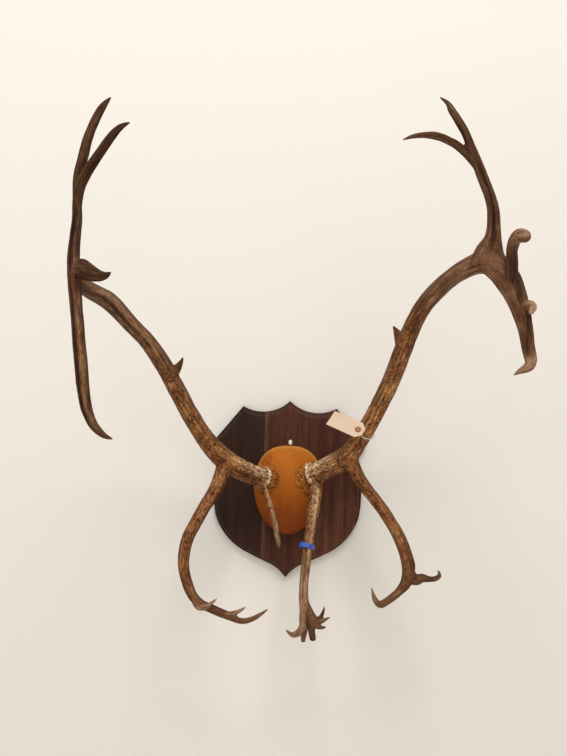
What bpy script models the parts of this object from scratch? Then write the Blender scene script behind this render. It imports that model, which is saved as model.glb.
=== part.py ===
# Caribou antler mount: a walnut shield, a leather skull cap, two branching antlers, a seal band and
# a card tag on a string. Metres, +Z up, the shield's flat back on the plane y = 0, its front towards -Y.
import math

import bmesh
import bpy
from mathutils import Matrix, Vector

OBJECT_NAME = "caribou_antler_mount"
GAP = 0.0003                    # air left between neighbouring solids
MERGE = 0.000001                # vertices closer than this are one vertex
FRONT = Vector((0.0, -1.0, 0.0))
SMOOTH_ANGLE = math.radians(50)  # edges sharper than this stay sharp

# Shield: half outline from the top point, down the right side, to the bottom point
SHIELD_BACK_SLAB = 0.0105        # depth of the full outline behind the routed moulding
SHIELD_MOULDING = [             # each step of the moulding: how far in, how far towards the front
    (0.0012, 0.0010),
    (0.0030, 0.0005),
    (0.0008, 0.0035),
    (0.0022, 0.0040),
    (0.0014, 0.0010),
    (0.0012, 0.0005),
]
SHIELD_THICKNESS = SHIELD_BACK_SLAB + sum(rise for _, rise in SHIELD_MOULDING)
SHIELD_SMOOTH_ANGLE = math.radians(35)
SHIELD_HALF_OUTLINE = [         # x, z, and how far the arc that follows bows out of its chord
    (0.000, 0.1855, -0.0165),
    (0.098, 0.172, 0.0),
    (0.160, 0.095, -0.0040),
    (0.146, 0.058, 0.0060),
    (0.150, -0.055, 0.0105),
    (0.085, -0.132, 0.0005),
    (0.031, -0.157, -0.0025),
    (0.000, -0.184, 0.0),
]
ARC_SPACING = 0.017

# Leather cap: an egg-shaped dome over the skull plate, broad above and narrow below
CAP_CENTRE = (0.001, 0.001)
CAP_HALF_WIDTH = 0.0715
CAP_RISE = 0.092
CAP_DROP = 0.093
CAP_HEIGHT = 0.054
CAP_FULLNESS_ABOVE = 2.5
CAP_FULLNESS_BELOW = 1.8
CAP_SPREAD = 0.9                # below 1 the rings of the dome crowd towards its rim
CAP_SQUARENESS = 0.85           # below 1 the dome rises steeply at its rim and is flatter in front
CAP_SEGMENTS = 28
CAP_RINGS = 9

# Antlers: each limb is a smooth route of x, y, z, width across and, where it is flat, width through
RIDGE = 0.035                   # height of the long ridges, as a share of the radius
BEAM_SIDES = 12
TINE_SIDES = 10
PRONG_SIDES = 8
BEAM_SPACING = 0.020
TINE_SPACING = 0.019
PRONG_SPACING = 0.011
TURN_FLOOR = 0.25               # below this share a limb points at the viewer and its frame is carried on

LIMBS = {
    "left_beam": [
        (-0.014, -0.048, 0.018, 0.028), (-0.029, -0.071, 0.024, 0.031), (-0.042, -0.081, 0.028, 0.035),
        (-0.068, -0.095, 0.036, 0.039), (-0.096, -0.113, 0.049, 0.0415), (-0.131, -0.135, 0.073, 0.0415),
        (-0.162, -0.165, 0.109, 0.036), (-0.189, -0.200, 0.155, 0.0335), (-0.213, -0.238, 0.204, 0.033),
        (-0.235, -0.280, 0.250, 0.0315), (-0.258, -0.325, 0.289, 0.029), (-0.2852, -0.370, 0.3211, 0.0285),
        (-0.3129, -0.415, 0.3530, 0.0314), (-0.3379, -0.455, 0.3680, 0.0280),
        (-0.3516, -0.485, 0.3789, 0.0240),
    ],
    "left_spur": [
        (-0.228, -0.270, 0.231, 0.029), (-0.214, -0.264, 0.243, 0.019), (-0.206, -0.262, 0.256, 0.0095),
        (-0.202, -0.261, 0.266, 0.003),
    ],
    "left_brow_tine": [
        (-0.053, -0.088, 0.030, 0.022), (-0.047, -0.094, 0.010, 0.0155), (-0.039, -0.105, -0.011, 0.0115),
        (-0.031, -0.112, -0.034, 0.011), (-0.0235, -0.117, -0.057, 0.011), (-0.020, -0.119, -0.077, 0.0105),
        (-0.016, -0.119, -0.093, 0.009), (-0.0145, -0.118, -0.104, 0.0035),
    ],
    "left_bez_tine": [
        (-0.124, -0.134, 0.060, 0.035), (-0.139, -0.152, 0.018, 0.028), (-0.161, -0.168, -0.021, 0.025),
        (-0.177, -0.182, -0.051, 0.024), (-0.190, -0.195, -0.080, 0.0235), (-0.195, -0.205, -0.110, 0.0225),
        (-0.193, -0.213, -0.135, 0.0215), (-0.185, -0.221, -0.160, 0.020), (-0.174, -0.229, -0.180, 0.0185),
        (-0.160, -0.237, -0.192, 0.0178), (-0.141, -0.244, -0.198, 0.0165), (-0.121, -0.252, -0.204, 0.0165),
        (-0.100, -0.260, -0.210, 0.015), (-0.081, -0.268, -0.215, 0.0115), (-0.064, -0.275, -0.211, 0.010),
        (-0.047, -0.282, -0.200, 0.0075), (-0.031, -0.288, -0.187, 0.0025),
    ],
    "left_bez_first_prong": [
        (-0.169, -0.234, -0.190, 0.014), (-0.160, -0.243, -0.198, 0.0125), (-0.146, -0.252, -0.194, 0.010),
        (-0.134, -0.259, -0.184, 0.006), (-0.126, -0.263, -0.176, 0.0022),
    ],
    "left_bez_second_prong": [
        (-0.112, -0.256, -0.207, 0.012), (-0.096, -0.263, -0.203, 0.010), (-0.083, -0.269, -0.196, 0.007),
        (-0.072, -0.275, -0.187, 0.0022),
    ],
    "left_trunk": [
        (-0.287, -0.497, 0.127, 0.003, 0.003), (-0.301, -0.503, 0.133, 0.0098, 0.0098),
        (-0.316, -0.511, 0.149, 0.015, 0.0145), (-0.326, -0.520, 0.174, 0.019, 0.018),
        (-0.331, -0.528, 0.207, 0.021, 0.020), (-0.336, -0.530, 0.252, 0.0215, 0.022),
        (-0.343, -0.523, 0.300, 0.0205, 0.026), (-0.351, -0.507, 0.345, 0.020, 0.032),
        (-0.356, -0.495, 0.375, 0.0215, 0.040), (-0.359, -0.490, 0.398, 0.021, 0.044),
        (-0.360, -0.492, 0.420, 0.0190, 0.041), (-0.357, -0.498, 0.450, 0.017, 0.034),
        (-0.353, -0.506, 0.479, 0.0158, 0.028), (-0.3525, -0.511, 0.504, 0.0158, 0.026),
        (-0.346, -0.519, 0.530, 0.0168, 0.022), (-0.329, -0.534, 0.555, 0.0167, 0.019),
        (-0.311, -0.549, 0.576, 0.0157, 0.017), (-0.294, -0.563, 0.595, 0.014, 0.015),
        (-0.278, -0.574, 0.609, 0.0105, 0.011), (-0.261, -0.581, 0.616, 0.003, 0.003),
    ],
    "left_rear_tine": [
        (-0.355, -0.506, 0.508, 0.014), (-0.353, -0.506, 0.546, 0.017), (-0.346, -0.509, 0.576, 0.017),
        (-0.337, -0.514, 0.610, 0.0157), (-0.325, -0.518, 0.637, 0.014), (-0.314, -0.520, 0.656, 0.011),
        (-0.302, -0.521, 0.670, 0.003),
    ],
    "left_inner_tine": [
        (-0.3596, -0.500, 0.4004, 0.0200, 0.0150), (-0.3450, -0.512, 0.3985, 0.0320, 0.0150),
        (-0.3313, -0.521, 0.3922, 0.0291, 0.0130), (-0.3183, -0.530, 0.3871, 0.0239, 0.0110),
        (-0.3061, -0.538, 0.3846, 0.0176, 0.0090), (-0.2961, -0.543, 0.3861, 0.0106, 0.0070),
        (-0.2897, -0.546, 0.3908, 0.0030, 0.0030),
    ],
    "right_trunk": [
        (0.014, -0.048, 0.024, 0.028), (0.028, -0.071, 0.032, 0.031), (0.040, -0.081, 0.038, 0.035),
        (0.062, -0.094, 0.048, 0.040), (0.090, -0.113, 0.065, 0.042), (0.116, -0.133, 0.085, 0.041),
        (0.136, -0.152, 0.117, 0.036), (0.155, -0.178, 0.155, 0.034), (0.172, -0.207, 0.197, 0.0335),
        (0.187, -0.240, 0.239, 0.0335), (0.199, -0.275, 0.284, 0.0335), (0.210, -0.312, 0.326, 0.0322),
        (0.224, -0.350, 0.363, 0.0305), (0.244, -0.388, 0.392, 0.031), (0.267, -0.425, 0.414, 0.0305),
        (0.292, -0.456, 0.429, 0.035, 0.026), (0.312, -0.477, 0.432, 0.044, 0.021),
        (0.327, -0.488, 0.421, 0.047, 0.018), (0.339, -0.497, 0.403, 0.045, 0.016),
        (0.350, -0.506, 0.378, 0.038, 0.015), (0.359, -0.513, 0.351, 0.031, 0.015),
        (0.366, -0.517, 0.322, 0.025, 0.015), (0.370, -0.521, 0.295, 0.022, 0.014),
        (0.373, -0.527, 0.275, 0.020, 0.014), (0.369, -0.540, 0.265, 0.017, 0.013),
        (0.360, -0.551, 0.259, 0.0133, 0.012), (0.348, -0.560, 0.254, 0.0085, 0.0085),
        (0.338, -0.567, 0.248, 0.0025, 0.0025),
    ],
    "right_spur": [
        (0.201, -0.290, 0.299, 0.034), (0.192, -0.285, 0.316, 0.020), (0.185, -0.283, 0.328, 0.009),
        (0.181, -0.282, 0.334, 0.003),
    ],
    "right_brow_tine": [
        (0.050, -0.085, 0.038, 0.027), (0.054, -0.096, 0.010, 0.026), (0.053, -0.111, -0.018, 0.024),
        (0.047, -0.128, -0.056, 0.0215), (0.043, -0.140, -0.088, 0.0195), (0.040, -0.148, -0.112, 0.019),
        (0.038, -0.154, -0.138, 0.018), (0.036, -0.160, -0.165, 0.0175), (0.036, -0.165, -0.192, 0.019),
        (0.039, -0.169, -0.211, 0.021), (0.038, -0.171, -0.230, 0.019), (0.036, -0.173, -0.246, 0.016),
        (0.027, -0.178, -0.257, 0.014), (0.015, -0.184, -0.259, 0.010), (0.003, -0.192, -0.248, 0.003),
    ],
    "right_brow_down_prong": [
        (0.038, -0.168, -0.222, 0.014), (0.039, -0.167, -0.248, 0.014), (0.038, -0.166, -0.266, 0.010),
        (0.037, -0.165, -0.280, 0.004),
    ],
    "right_brow_front_prong": [
        (0.042, -0.168, -0.206, 0.017), (0.048, -0.178, -0.228, 0.014), (0.052, -0.192, -0.248, 0.012),
        (0.055, -0.206, -0.263, 0.006),
    ],
    "right_brow_side_prong": [
        (0.042, -0.168, -0.208, 0.018), (0.052, -0.178, -0.224, 0.0155), (0.062, -0.188, -0.230, 0.0125),
        (0.071, -0.197, -0.228, 0.0095), (0.079, -0.205, -0.222, 0.006), (0.086, -0.211, -0.217, 0.0025),
    ],
    "right_brow_up_prong": [
        (0.058, -0.185, -0.231, 0.0105), (0.068, -0.192, -0.223, 0.009), (0.073, -0.199, -0.210, 0.006),
        (0.075, -0.204, -0.198, 0.0025),
    ],
    "right_brow_low_prong": [
        (0.050, -0.178, -0.226, 0.012), (0.061, -0.190, -0.239, 0.010), (0.070, -0.199, -0.240, 0.008),
        (0.079, -0.207, -0.237, 0.0035),
    ],
    "right_bez_tine": [
        (0.117, -0.132, 0.080, 0.034), (0.132, -0.143, 0.050, 0.029), (0.149, -0.153, 0.026, 0.025),
        (0.170, -0.164, 0.001, 0.0235), (0.192, -0.176, -0.028, 0.0235), (0.212, -0.188, -0.060, 0.024),
        (0.2255, -0.198, -0.092, 0.0245), (0.232, -0.206, -0.120, 0.026), (0.227, -0.218, -0.145, 0.021),
        (0.210, -0.234, -0.162, 0.0155), (0.190, -0.249, -0.174, 0.0135), (0.175, -0.261, -0.179, 0.0135),
        (0.164, -0.271, -0.168, 0.0095), (0.156, -0.282, -0.145, 0.003),
    ],
    "right_bez_prong": [
        (0.229, -0.206, -0.126, 0.023), (0.243, -0.221, -0.139, 0.021), (0.254, -0.236, -0.133, 0.0165),
        (0.264, -0.248, -0.132, 0.012), (0.274, -0.260, -0.129, 0.0105), (0.281, -0.269, -0.121, 0.008),
        (0.277, -0.276, -0.109, 0.0025),
    ],
    "right_upper_tine": [
        (0.310, -0.476, 0.424, 0.060, 0.015), (0.313, -0.482, 0.447, 0.050, 0.016),
        (0.3165, -0.488, 0.474, 0.027, 0.017), (0.314, -0.497, 0.507, 0.0204, 0.018),
        (0.307, -0.504, 0.530, 0.0187, 0.018), (0.296, -0.513, 0.552, 0.0175, 0.0175),
        (0.283, -0.524, 0.576, 0.0173, 0.017), (0.269, -0.537, 0.600, 0.0154, 0.015),
        (0.257, -0.548, 0.621, 0.0134, 0.013), (0.244, -0.557, 0.638, 0.0127, 0.0125),
        (0.232, -0.564, 0.652, 0.0118, 0.0115), (0.223, -0.570, 0.663, 0.0077, 0.0075),
        (0.210, -0.575, 0.670, 0.0025, 0.0025),
    ],
    "right_side_tine": [
        (0.290, -0.516, 0.567, 0.013), (0.268, -0.530, 0.589, 0.014), (0.246, -0.545, 0.6025, 0.0135),
        (0.226, -0.558, 0.609, 0.0125), (0.206, -0.570, 0.612, 0.0115), (0.186, -0.580, 0.610, 0.009),
        (0.168, -0.588, 0.605, 0.0065), (0.153, -0.594, 0.598, 0.0025),
    ],
    "right_knob": [
        (0.346, -0.498, 0.396, 0.021), (0.343, -0.510, 0.430, 0.019), (0.340, -0.521, 0.448, 0.018),
        (0.341, -0.536, 0.461, 0.020), (0.345, -0.553, 0.466, 0.0215), (0.349, -0.566, 0.462, 0.0205),
        (0.350, -0.575, 0.458, 0.0115),
    ],
    "right_small_knob": [
        (0.364, -0.512, 0.360, 0.017), (0.371, -0.522, 0.360, 0.0165), (0.3727, -0.534, 0.3558, 0.0132),
        (0.3686, -0.541, 0.3492, 0.0106), (0.3653, -0.545, 0.3448, 0.0056),
    ],
}
LEFT_FORK_START = 8             # station of the left trunk where the long tine ends and the fork begins
RIGHT_PALM_START = 15           # station of the right trunk where the round beam ends and the palm begins

# Burrs: a low crown of pearls around each beam's base, as distance along the beam and width
BURR_PROFILE = [(-0.006, 0.033), (-0.003, 0.045), (0.001, 0.049), (0.005, 0.045), (0.009, 0.038)]
BURR_SIDES = 20
BURR_PEARLS = 0.06
BURRS = {                       # base point and the direction in which the beam leaves
    "left": ((-0.042, -0.081, 0.028), (-0.83, -0.47, 0.28)),
    "right": ((0.040, -0.081, 0.038), (0.80, -0.45, 0.36)),
}

# Seal band: a loose flat loop on the right brow tine
BAND_CENTRE = (0.0395, -0.1415, -0.0955)
BAND_AXIS = (-0.22, -0.30, -0.93)
BAND_RADIUS = 0.0150
BAND_HEIGHT = 0.009
BAND_THICKNESS = 0.0012
BAND_STEPS = 28

# Card tag: a clipped card that hangs from a string around the right beam
TAG_LENGTH = 0.072
TAG_WIDTH = 0.035
TAG_CLIP = 0.010
TAG_THICKNESS = 0.0007
TAG_HOLE_RADIUS = 0.0038
TAG_HOLE_STEPS = 16
TAG_HOLE_FROM_END = 0.012
TAG_END = (0.1400, -0.1965, 0.1345)
TAG_ALONG = (-0.87, 0.34, 0.35)     # from the holed end to the square end
TAG_ACROSS = (0.53, 0.42, 0.73)
EYELET_RADIUS = 0.0062
EYELET_BORE = 0.0025
EYELET_RIM = 0.0006

# String: one closed loop around the beam and through the eyelet
STRING_RADIUS = 0.0009
STRING_BEAM_STATION = (0.1450, -0.1640, 0.1345)
STRING_BEAM_AXIS = (0.38, -0.52, 0.77)
STRING_LOOP_RADIUS = 0.0202
STRING_SIDES = 2
STRING_ARC = math.radians(300)  # how much of the beam the loop goes around
STRING_ARC_STEPS = 24
STRING_DRIFT = 0.003            # how far along the beam the loop's start and end lie apart
STRING_STAND_OFF = 0.0040       # how far each strand stands off the card beside the eyelet
STRING_LEAN = 0.0015             # and how far it leans back towards the beam there

# White peg on the shield, just above the cap
PEG_PLACE = (0.0025, 0.0995)
PEG_WIDTH = 0.008
PEG_LENGTH = 0.011
PEG_TALL = 1.45                 # its height as a multiple of its width
PEG_PROFILE = [(0.0, 1.0), (0.55, 0.94), (0.88, 0.78), (1.0, 0.55), (1.0, 0.0), (0.0, 0.0)]
PEG_STEPS = 16

COLOURS = {                     # base colour, roughness
    "walnut": ((0.045, 0.022, 0.014), 0.42),
    "cap_leather": ((0.40, 0.16, 0.03), 0.50),
    "antler": ((0.20, 0.115, 0.06), 0.62),
    "seal_blue": ((0.02, 0.08, 0.45), 0.40),
    "tag_card": ((0.76, 0.62, 0.44), 0.85),
    "eyelet_brown": ((0.33, 0.10, 0.06), 0.70),
    "string_cotton": ((0.72, 0.68, 0.60), 0.90),
    "peg_white": ((0.72, 0.70, 0.66), 0.50),
}


def clear_scene():
    for item in list(bpy.data.objects):
        bpy.data.objects.remove(item, do_unlink=True)


def make_collection(name):
    collection = bpy.data.collections.new(name)
    bpy.context.scene.collection.children.link(collection)
    return collection


def make_material(name):
    colour, roughness = COLOURS[name]
    material = bpy.data.materials.new(name)
    material.use_nodes = True
    shader = material.node_tree.nodes["Principled BSDF"]
    shader.inputs["Base Color"].default_value = (*colour, 1.0)
    shader.inputs["Roughness"].default_value = roughness
    return material


def add_object(name, mesh, collection, material=None):
    item = bpy.data.objects.new(name, mesh)
    collection.objects.link(item)
    if material:
        mesh.materials.append(material)
    return item


def hide_helper(item):
    item.hide_render = True
    item.display_type = "WIRE"


def add_boolean(item, other, operation):
    boolean = item.modifiers.new(operation.lower() + "_" + other.name, "BOOLEAN")
    boolean.object = other
    boolean.operation = operation
    boolean.solver = "EXACT"


def mesh_from_bmesh(name, bm, smooth_angle=SMOOTH_ANGLE):
    bmesh.ops.recalc_face_normals(bm, faces=bm.faces)
    if bm.calc_volume(signed=True) < 0:
        bmesh.ops.reverse_faces(bm, faces=bm.faces)
    mesh = bpy.data.meshes.new(name)
    bm.to_mesh(mesh)
    bm.free()
    mesh.shade_smooth()
    mesh.set_sharp_from_angle(angle=smooth_angle)
    return mesh


def mesh_from_curve(name, curve_object):
    """The curve's tube or slab as a closed mesh, in world space; the curve is removed."""
    bpy.context.view_layer.update()
    evaluated = curve_object.evaluated_get(bpy.context.evaluated_depsgraph_get())
    mesh = bpy.data.meshes.new_from_object(evaluated)
    bm = bmesh.new()
    bm.from_mesh(mesh)
    bmesh.ops.remove_doubles(bm, verts=bm.verts, dist=MERGE)
    bmesh.ops.transform(bm, matrix=curve_object.matrix_world, verts=bm.verts)
    bpy.data.meshes.remove(mesh)
    bpy.data.objects.remove(curve_object, do_unlink=True)
    return mesh_from_bmesh(name, bm)


def axes_matrix(along_x, along_y, origin):
    """A frame with +X on along_x, +Y as near along_y as it can be, and its origin at origin."""
    x_axis = Vector(along_x).normalized()
    z_axis = x_axis.cross(Vector(along_y)).normalized()
    y_axis = z_axis.cross(x_axis)
    turn = Matrix((x_axis, y_axis, z_axis)).transposed().to_4x4()
    return Matrix.Translation(origin) @ turn


# Shield

def arc_points(start, end, bow):
    """Points from start up to, but not at, end, on an arc that bows to the left by bow."""
    chord = end - start
    steps = math.ceil(chord.length / ARC_SPACING)
    side = Vector((-chord.y, chord.x)).normalized()
    if abs(bow) < 1e-6:
        return [start.copy()]
    half = chord.length / 2
    radius = (half * half + bow * bow) / (2 * bow)
    spread = math.asin(half / abs(radius))
    centre = (start + end) / 2 + side * (bow - radius)
    points = []
    for step in range(steps):
        angle = spread * (1 - 2 * step / steps)
        reach = -chord.normalized() * math.sin(angle) * abs(radius)
        points.append(centre + reach + side * radius * math.cos(angle))
    return points


def shield_outline():
    right = []
    for here, there in zip(SHIELD_HALF_OUTLINE, SHIELD_HALF_OUTLINE[1:]):
        start = Vector(here[:2])
        end = Vector(there[:2])
        right += arc_points(start, end, here[2])
    right.append(Vector(SHIELD_HALF_OUTLINE[-1][:2]))
    left = [Vector((-point.x, point.y)) for point in reversed(right[1:-1])]
    return right + left


def build_shield(parts):
    bm = bmesh.new()
    verts = [bm.verts.new((place.x, 0.0, place.y)) for place in shield_outline()]
    back = bm.faces.new(verts)
    raised = bmesh.ops.extrude_face_region(bm, geom=[back])["geom"]
    front = [item for item in raised if isinstance(item, bmesh.types.BMFace)]
    lifted = [item for item in raised if isinstance(item, bmesh.types.BMVert)]
    bmesh.ops.translate(bm, verts=lifted, vec=FRONT * SHIELD_BACK_SLAB)
    bmesh.ops.recalc_face_normals(bm, faces=bm.faces)
    for inward, rise in SHIELD_MOULDING:
        bmesh.ops.inset_region(bm, faces=front, thickness=inward, depth=rise, use_even_offset=True)
    mesh = mesh_from_bmesh("shield_plaque", bm, SHIELD_SMOOTH_ANGLE)
    add_object("shield_plaque", mesh, parts, make_material("walnut"))


# Cap

def cap_shape(direction, grow):
    """A point of the unit half sphere, with +Z off the wall, moved onto the egg-shaped dome."""
    flat = math.hypot(direction.x, direction.y)
    place = Vector((CAP_CENTRE[0], -SHIELD_THICKNESS - GAP, CAP_CENTRE[1]))
    if flat > 1e-6:
        across = abs(direction.x) / flat
        upright = direction.y / flat
        fullness = CAP_FULLNESS_ABOVE if upright > 0 else CAP_FULLNESS_BELOW
        reach = (CAP_RISE if upright > 0 else CAP_DROP) + grow
        wide = across ** (2 / fullness) * (CAP_HALF_WIDTH + grow)
        tall = abs(upright) ** (2 / fullness) * reach
        place.x += math.copysign(wide, direction.x) * flat ** CAP_SPREAD
        place.z += math.copysign(tall, upright) * flat ** CAP_SPREAD
    place.y -= (CAP_HEIGHT + grow) * max(direction.z, 0.0) ** CAP_SQUARENESS
    return place


def cap_mesh(name, grow):
    bm = bmesh.new()
    bmesh.ops.create_uvsphere(bm, u_segments=CAP_SEGMENTS, v_segments=2 * CAP_RINGS, radius=1.0)
    lower = [vert for vert in bm.verts if vert.co.z < -0.01]
    bmesh.ops.delete(bm, geom=lower, context="VERTS")
    rim = [edge for edge in bm.edges if edge.is_boundary]
    bmesh.ops.contextual_create(bm, geom=rim)
    for vert in bm.verts:
        vert.co = cap_shape(vert.co.copy(), grow)
    return mesh_from_bmesh(name, bm)


# Antler limbs

def catmull(points, spot):
    """The value at spot, from 0 to 1, between the middle two of four neighbouring points."""
    before, start, end, after = points
    return 0.5 * (2 * start + (end - before) * spot
                  + (2 * before - 5 * start + 4 * end - after) * spot ** 2
                  + (3 * start - before - 3 * end + after) * spot ** 3)


def smooth_route(stations, spacing):
    """Places, widths and station numbers along a smooth curve through the stations."""
    full = [Vector((*station, station[3])[:5]) for station in stations]
    route = []
    for index in range(len(full) - 1):
        around = [full[min(max(index + step, 0), len(full) - 1)] for step in (-1, 0, 1, 2)]
        reach = (around[2] - around[1])
        length = math.sqrt(reach[0] ** 2 + reach[1] ** 2 + reach[2] ** 2)
        steps = max(1, round(length / spacing))
        for step in range(steps):
            route.append((index + step / steps, catmull(around, step / steps)))
    route.append((len(full) - 1.0, full[-1]))
    return route


def section_frames(centres):
    """For each centre its tangent, its axis across the view and its axis through it."""
    frames = []
    across = None
    for index, centre in enumerate(centres):
        ahead = centres[min(index + 1, len(centres) - 1)] - centres[max(index - 1, 0)]
        tangent = ahead.normalized()
        seen = FRONT.cross(tangent)
        share = min(1.0, max(0.0, (seen.length - TURN_FLOOR) / TURN_FLOOR))
        if across is None:
            across = seen
        elif seen.dot(across) < 0:
            seen.negate()
        carried = (across - tangent * across.dot(tangent)).normalized()
        across = (carried * (1 - share) + seen.normalized() * share).normalized()
        frames.append((tangent, across, across.cross(tangent)))
    return frames


def limb_mesh(name, stations, sides, spacing, first=0, last=None, grow=0.0, ridge=RIDGE):
    """A loft of ridged oval rings along a route, or along its stretch from station first to last."""
    route = smooth_route(stations, spacing)
    last = len(stations) - 1 if last is None else last
    centres = [Vector(values[:3]) for _, values in route]
    frames = section_frames(centres)
    inside = [index for index, (number, _) in enumerate(route) if first <= number <= last]
    bm = bmesh.new()
    rings = []
    for index in inside:
        tangent, across, through = frames[index]
        centre = centres[index].copy()
        if index == inside[0] and first > 0:
            centre += tangent * GAP / 2
        if index == inside[-1] and last < len(stations) - 1:
            centre -= tangent * GAP / 2
        half_across = route[index][1][3] / 2 + grow
        half_through = route[index][1][4] / 2 + grow
        ring = []
        for side in range(sides):
            angle = 2 * math.pi * side / sides
            swell = 1 + ridge * (1 if side % 2 else -1)
            offset = across * math.cos(angle) * half_across + through * math.sin(angle) * half_through
            ring.append(bm.verts.new(centre + offset * swell))
        rings.append(ring)
    for lower, upper in zip(rings, rings[1:]):
        for side in range(sides):
            after = (side + 1) % sides
            bm.faces.new((lower[side], lower[after], upper[after]))
            bm.faces.new((lower[side], upper[after], upper[side]))
    bm.faces.new(reversed(rings[0]))
    bm.faces.new(rings[-1])
    return mesh_from_bmesh(name, bm)


def burr_mesh(name, side, grow=0.0):
    base, direction = BURRS[side]
    heading = Vector(direction).normalized()
    first = BURR_PROFILE[0][0]
    last = BURR_PROFILE[-1][0]
    stations = []
    for along, width in BURR_PROFILE:
        longer = grow * (2 * (along - first) / (last - first) - 1)
        stations.append((*(Vector(base) + heading * (along + longer)), width))
    return limb_mesh(name, stations, BURR_SIDES, TINE_SPACING, grow=grow, ridge=BURR_PEARLS)


def add_helper(name, mesh, helpers):
    item = add_object(name, mesh, helpers)
    hide_helper(item)
    return item


def limb_settings(name):
    """Sides and ring spacing of a limb: beams are finest, prongs have the fewest sides."""
    if name in ("left_beam", "left_trunk", "right_trunk"):
        return BEAM_SIDES, BEAM_SPACING
    if name.endswith(("prong", "spur")):
        return PRONG_SIDES, PRONG_SPACING
    return TINE_SIDES, TINE_SPACING


def grow_piece(name, limb, joined, neighbours, parts, helpers, first=0, last=None, burr=None):
    """One solid of an antler: a limb, the limbs joined to it, and a seat for each neighbour."""
    mesh = limb_mesh(name, LIMBS[limb], *limb_settings(limb), first=first, last=last)
    piece = add_object(name, mesh, parts, make_material("antler"))
    if burr:
        add_boolean(piece, add_helper(name + "_burr", burr_mesh(name + "_burr", burr), helpers), "UNION")
    for other in joined:
        shape = limb_mesh(other, LIMBS[other], *limb_settings(other))
        add_boolean(piece, add_helper(other, shape, helpers), "UNION")
    for helper in neighbours:
        add_boolean(piece, helper, "DIFFERENCE")
    return piece


def build_antlers(parts, helpers, cap_seat):
    def seat(limb):
        shape = limb_mesh(limb + "_seat", LIMBS[limb], *limb_settings(limb), grow=GAP)
        return add_helper(limb + "_seat", shape, helpers)

    left_burr = add_helper("left_burr_seat", burr_mesh("left_burr_seat", "left", GAP), helpers)
    right_burr = add_helper("right_burr_seat", burr_mesh("right_burr_seat", "right", GAP), helpers)
    left_beam = seat("left_beam")
    left_trunk = seat("left_trunk")
    right_trunk = seat("right_trunk")
    grow_piece("left_beam", "left_beam", ["left_spur"], [cap_seat, left_trunk], parts, helpers, burr="left")
    grow_piece("left_brow_tine", "left_brow_tine", [], [left_beam, left_burr], parts, helpers)
    grow_piece("left_bez_tine", "left_bez_tine", ["left_bez_first_prong", "left_bez_second_prong"],
               [left_beam], parts, helpers)
    grow_piece("left_upper_fork", "left_trunk", ["left_rear_tine"], [], parts, helpers,
               first=LEFT_FORK_START)
    grow_piece("left_long_tine", "left_trunk", [], [], parts, helpers, last=LEFT_FORK_START)
    grow_piece("left_inner_tine", "left_inner_tine", [], [left_beam, left_trunk], parts, helpers)
    grow_piece("right_beam", "right_trunk", ["right_spur"], [cap_seat], parts, helpers,
               last=RIGHT_PALM_START, burr="right")
    grow_piece("right_palm", "right_trunk", ["right_knob", "right_small_knob"], [], parts, helpers,
               first=RIGHT_PALM_START)
    brow_prongs = ["down", "front", "side", "up", "low"]
    grow_piece("right_brow_tine", "right_brow_tine", [f"right_brow_{way}_prong" for way in brow_prongs],
               [right_trunk, right_burr], parts, helpers)
    grow_piece("right_bez_tine", "right_bez_tine", ["right_bez_prong"], [right_trunk], parts, helpers)
    grow_piece("right_upper_fork", "right_upper_tine", ["right_side_tine"], [right_trunk], parts, helpers)


# Band, tag, string and peg

def turned_mesh(name, profile, steps, matrix):
    """A profile of (radius, height) points turned about its own Z and placed by matrix.

    A profile that starts off the axis is a ring's section and is closed; one that starts on it isn't."""
    bm = bmesh.new()
    verts = [bm.verts.new((radius, 0.0, height)) for radius, height in profile]
    edges = [bm.edges.new(pair) for pair in zip(verts, verts[1:])]
    if profile[0][0] > 0:
        edges.append(bm.edges.new((verts[-1], verts[0])))
    bmesh.ops.spin(bm, geom=verts + edges, cent=(0, 0, 0), axis=(0, 0, 1), angle=2 * math.pi,
                   steps=steps, use_merge=True, use_duplicate=False)
    bmesh.ops.remove_doubles(bm, verts=bm.verts, dist=MERGE)
    bmesh.ops.transform(bm, matrix=matrix, verts=bm.verts)
    return mesh_from_bmesh(name, bm)


def build_band(parts):
    inner = BAND_RADIUS - BAND_THICKNESS
    half = BAND_HEIGHT / 2
    profile = [(BAND_RADIUS, half), (BAND_RADIUS, -half), (inner, -half), (inner, half)]
    axis = Vector(BAND_AXIS).normalized()
    turn = axis.to_track_quat("Z", "Y").to_matrix().to_4x4()
    band = turned_mesh("seal_band", profile, BAND_STEPS, Matrix.Translation(BAND_CENTRE) @ turn)
    add_object("seal_band", band, parts, make_material("seal_blue"))


def tag_frame():
    """The tag's frame: +X from the holed end to the square end, +Y across it, origin at the hole."""
    end = Vector(TAG_END)
    along = Vector(TAG_ALONG).normalized()
    return axes_matrix(along, TAG_ACROSS, end + along * TAG_HOLE_FROM_END)


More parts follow.
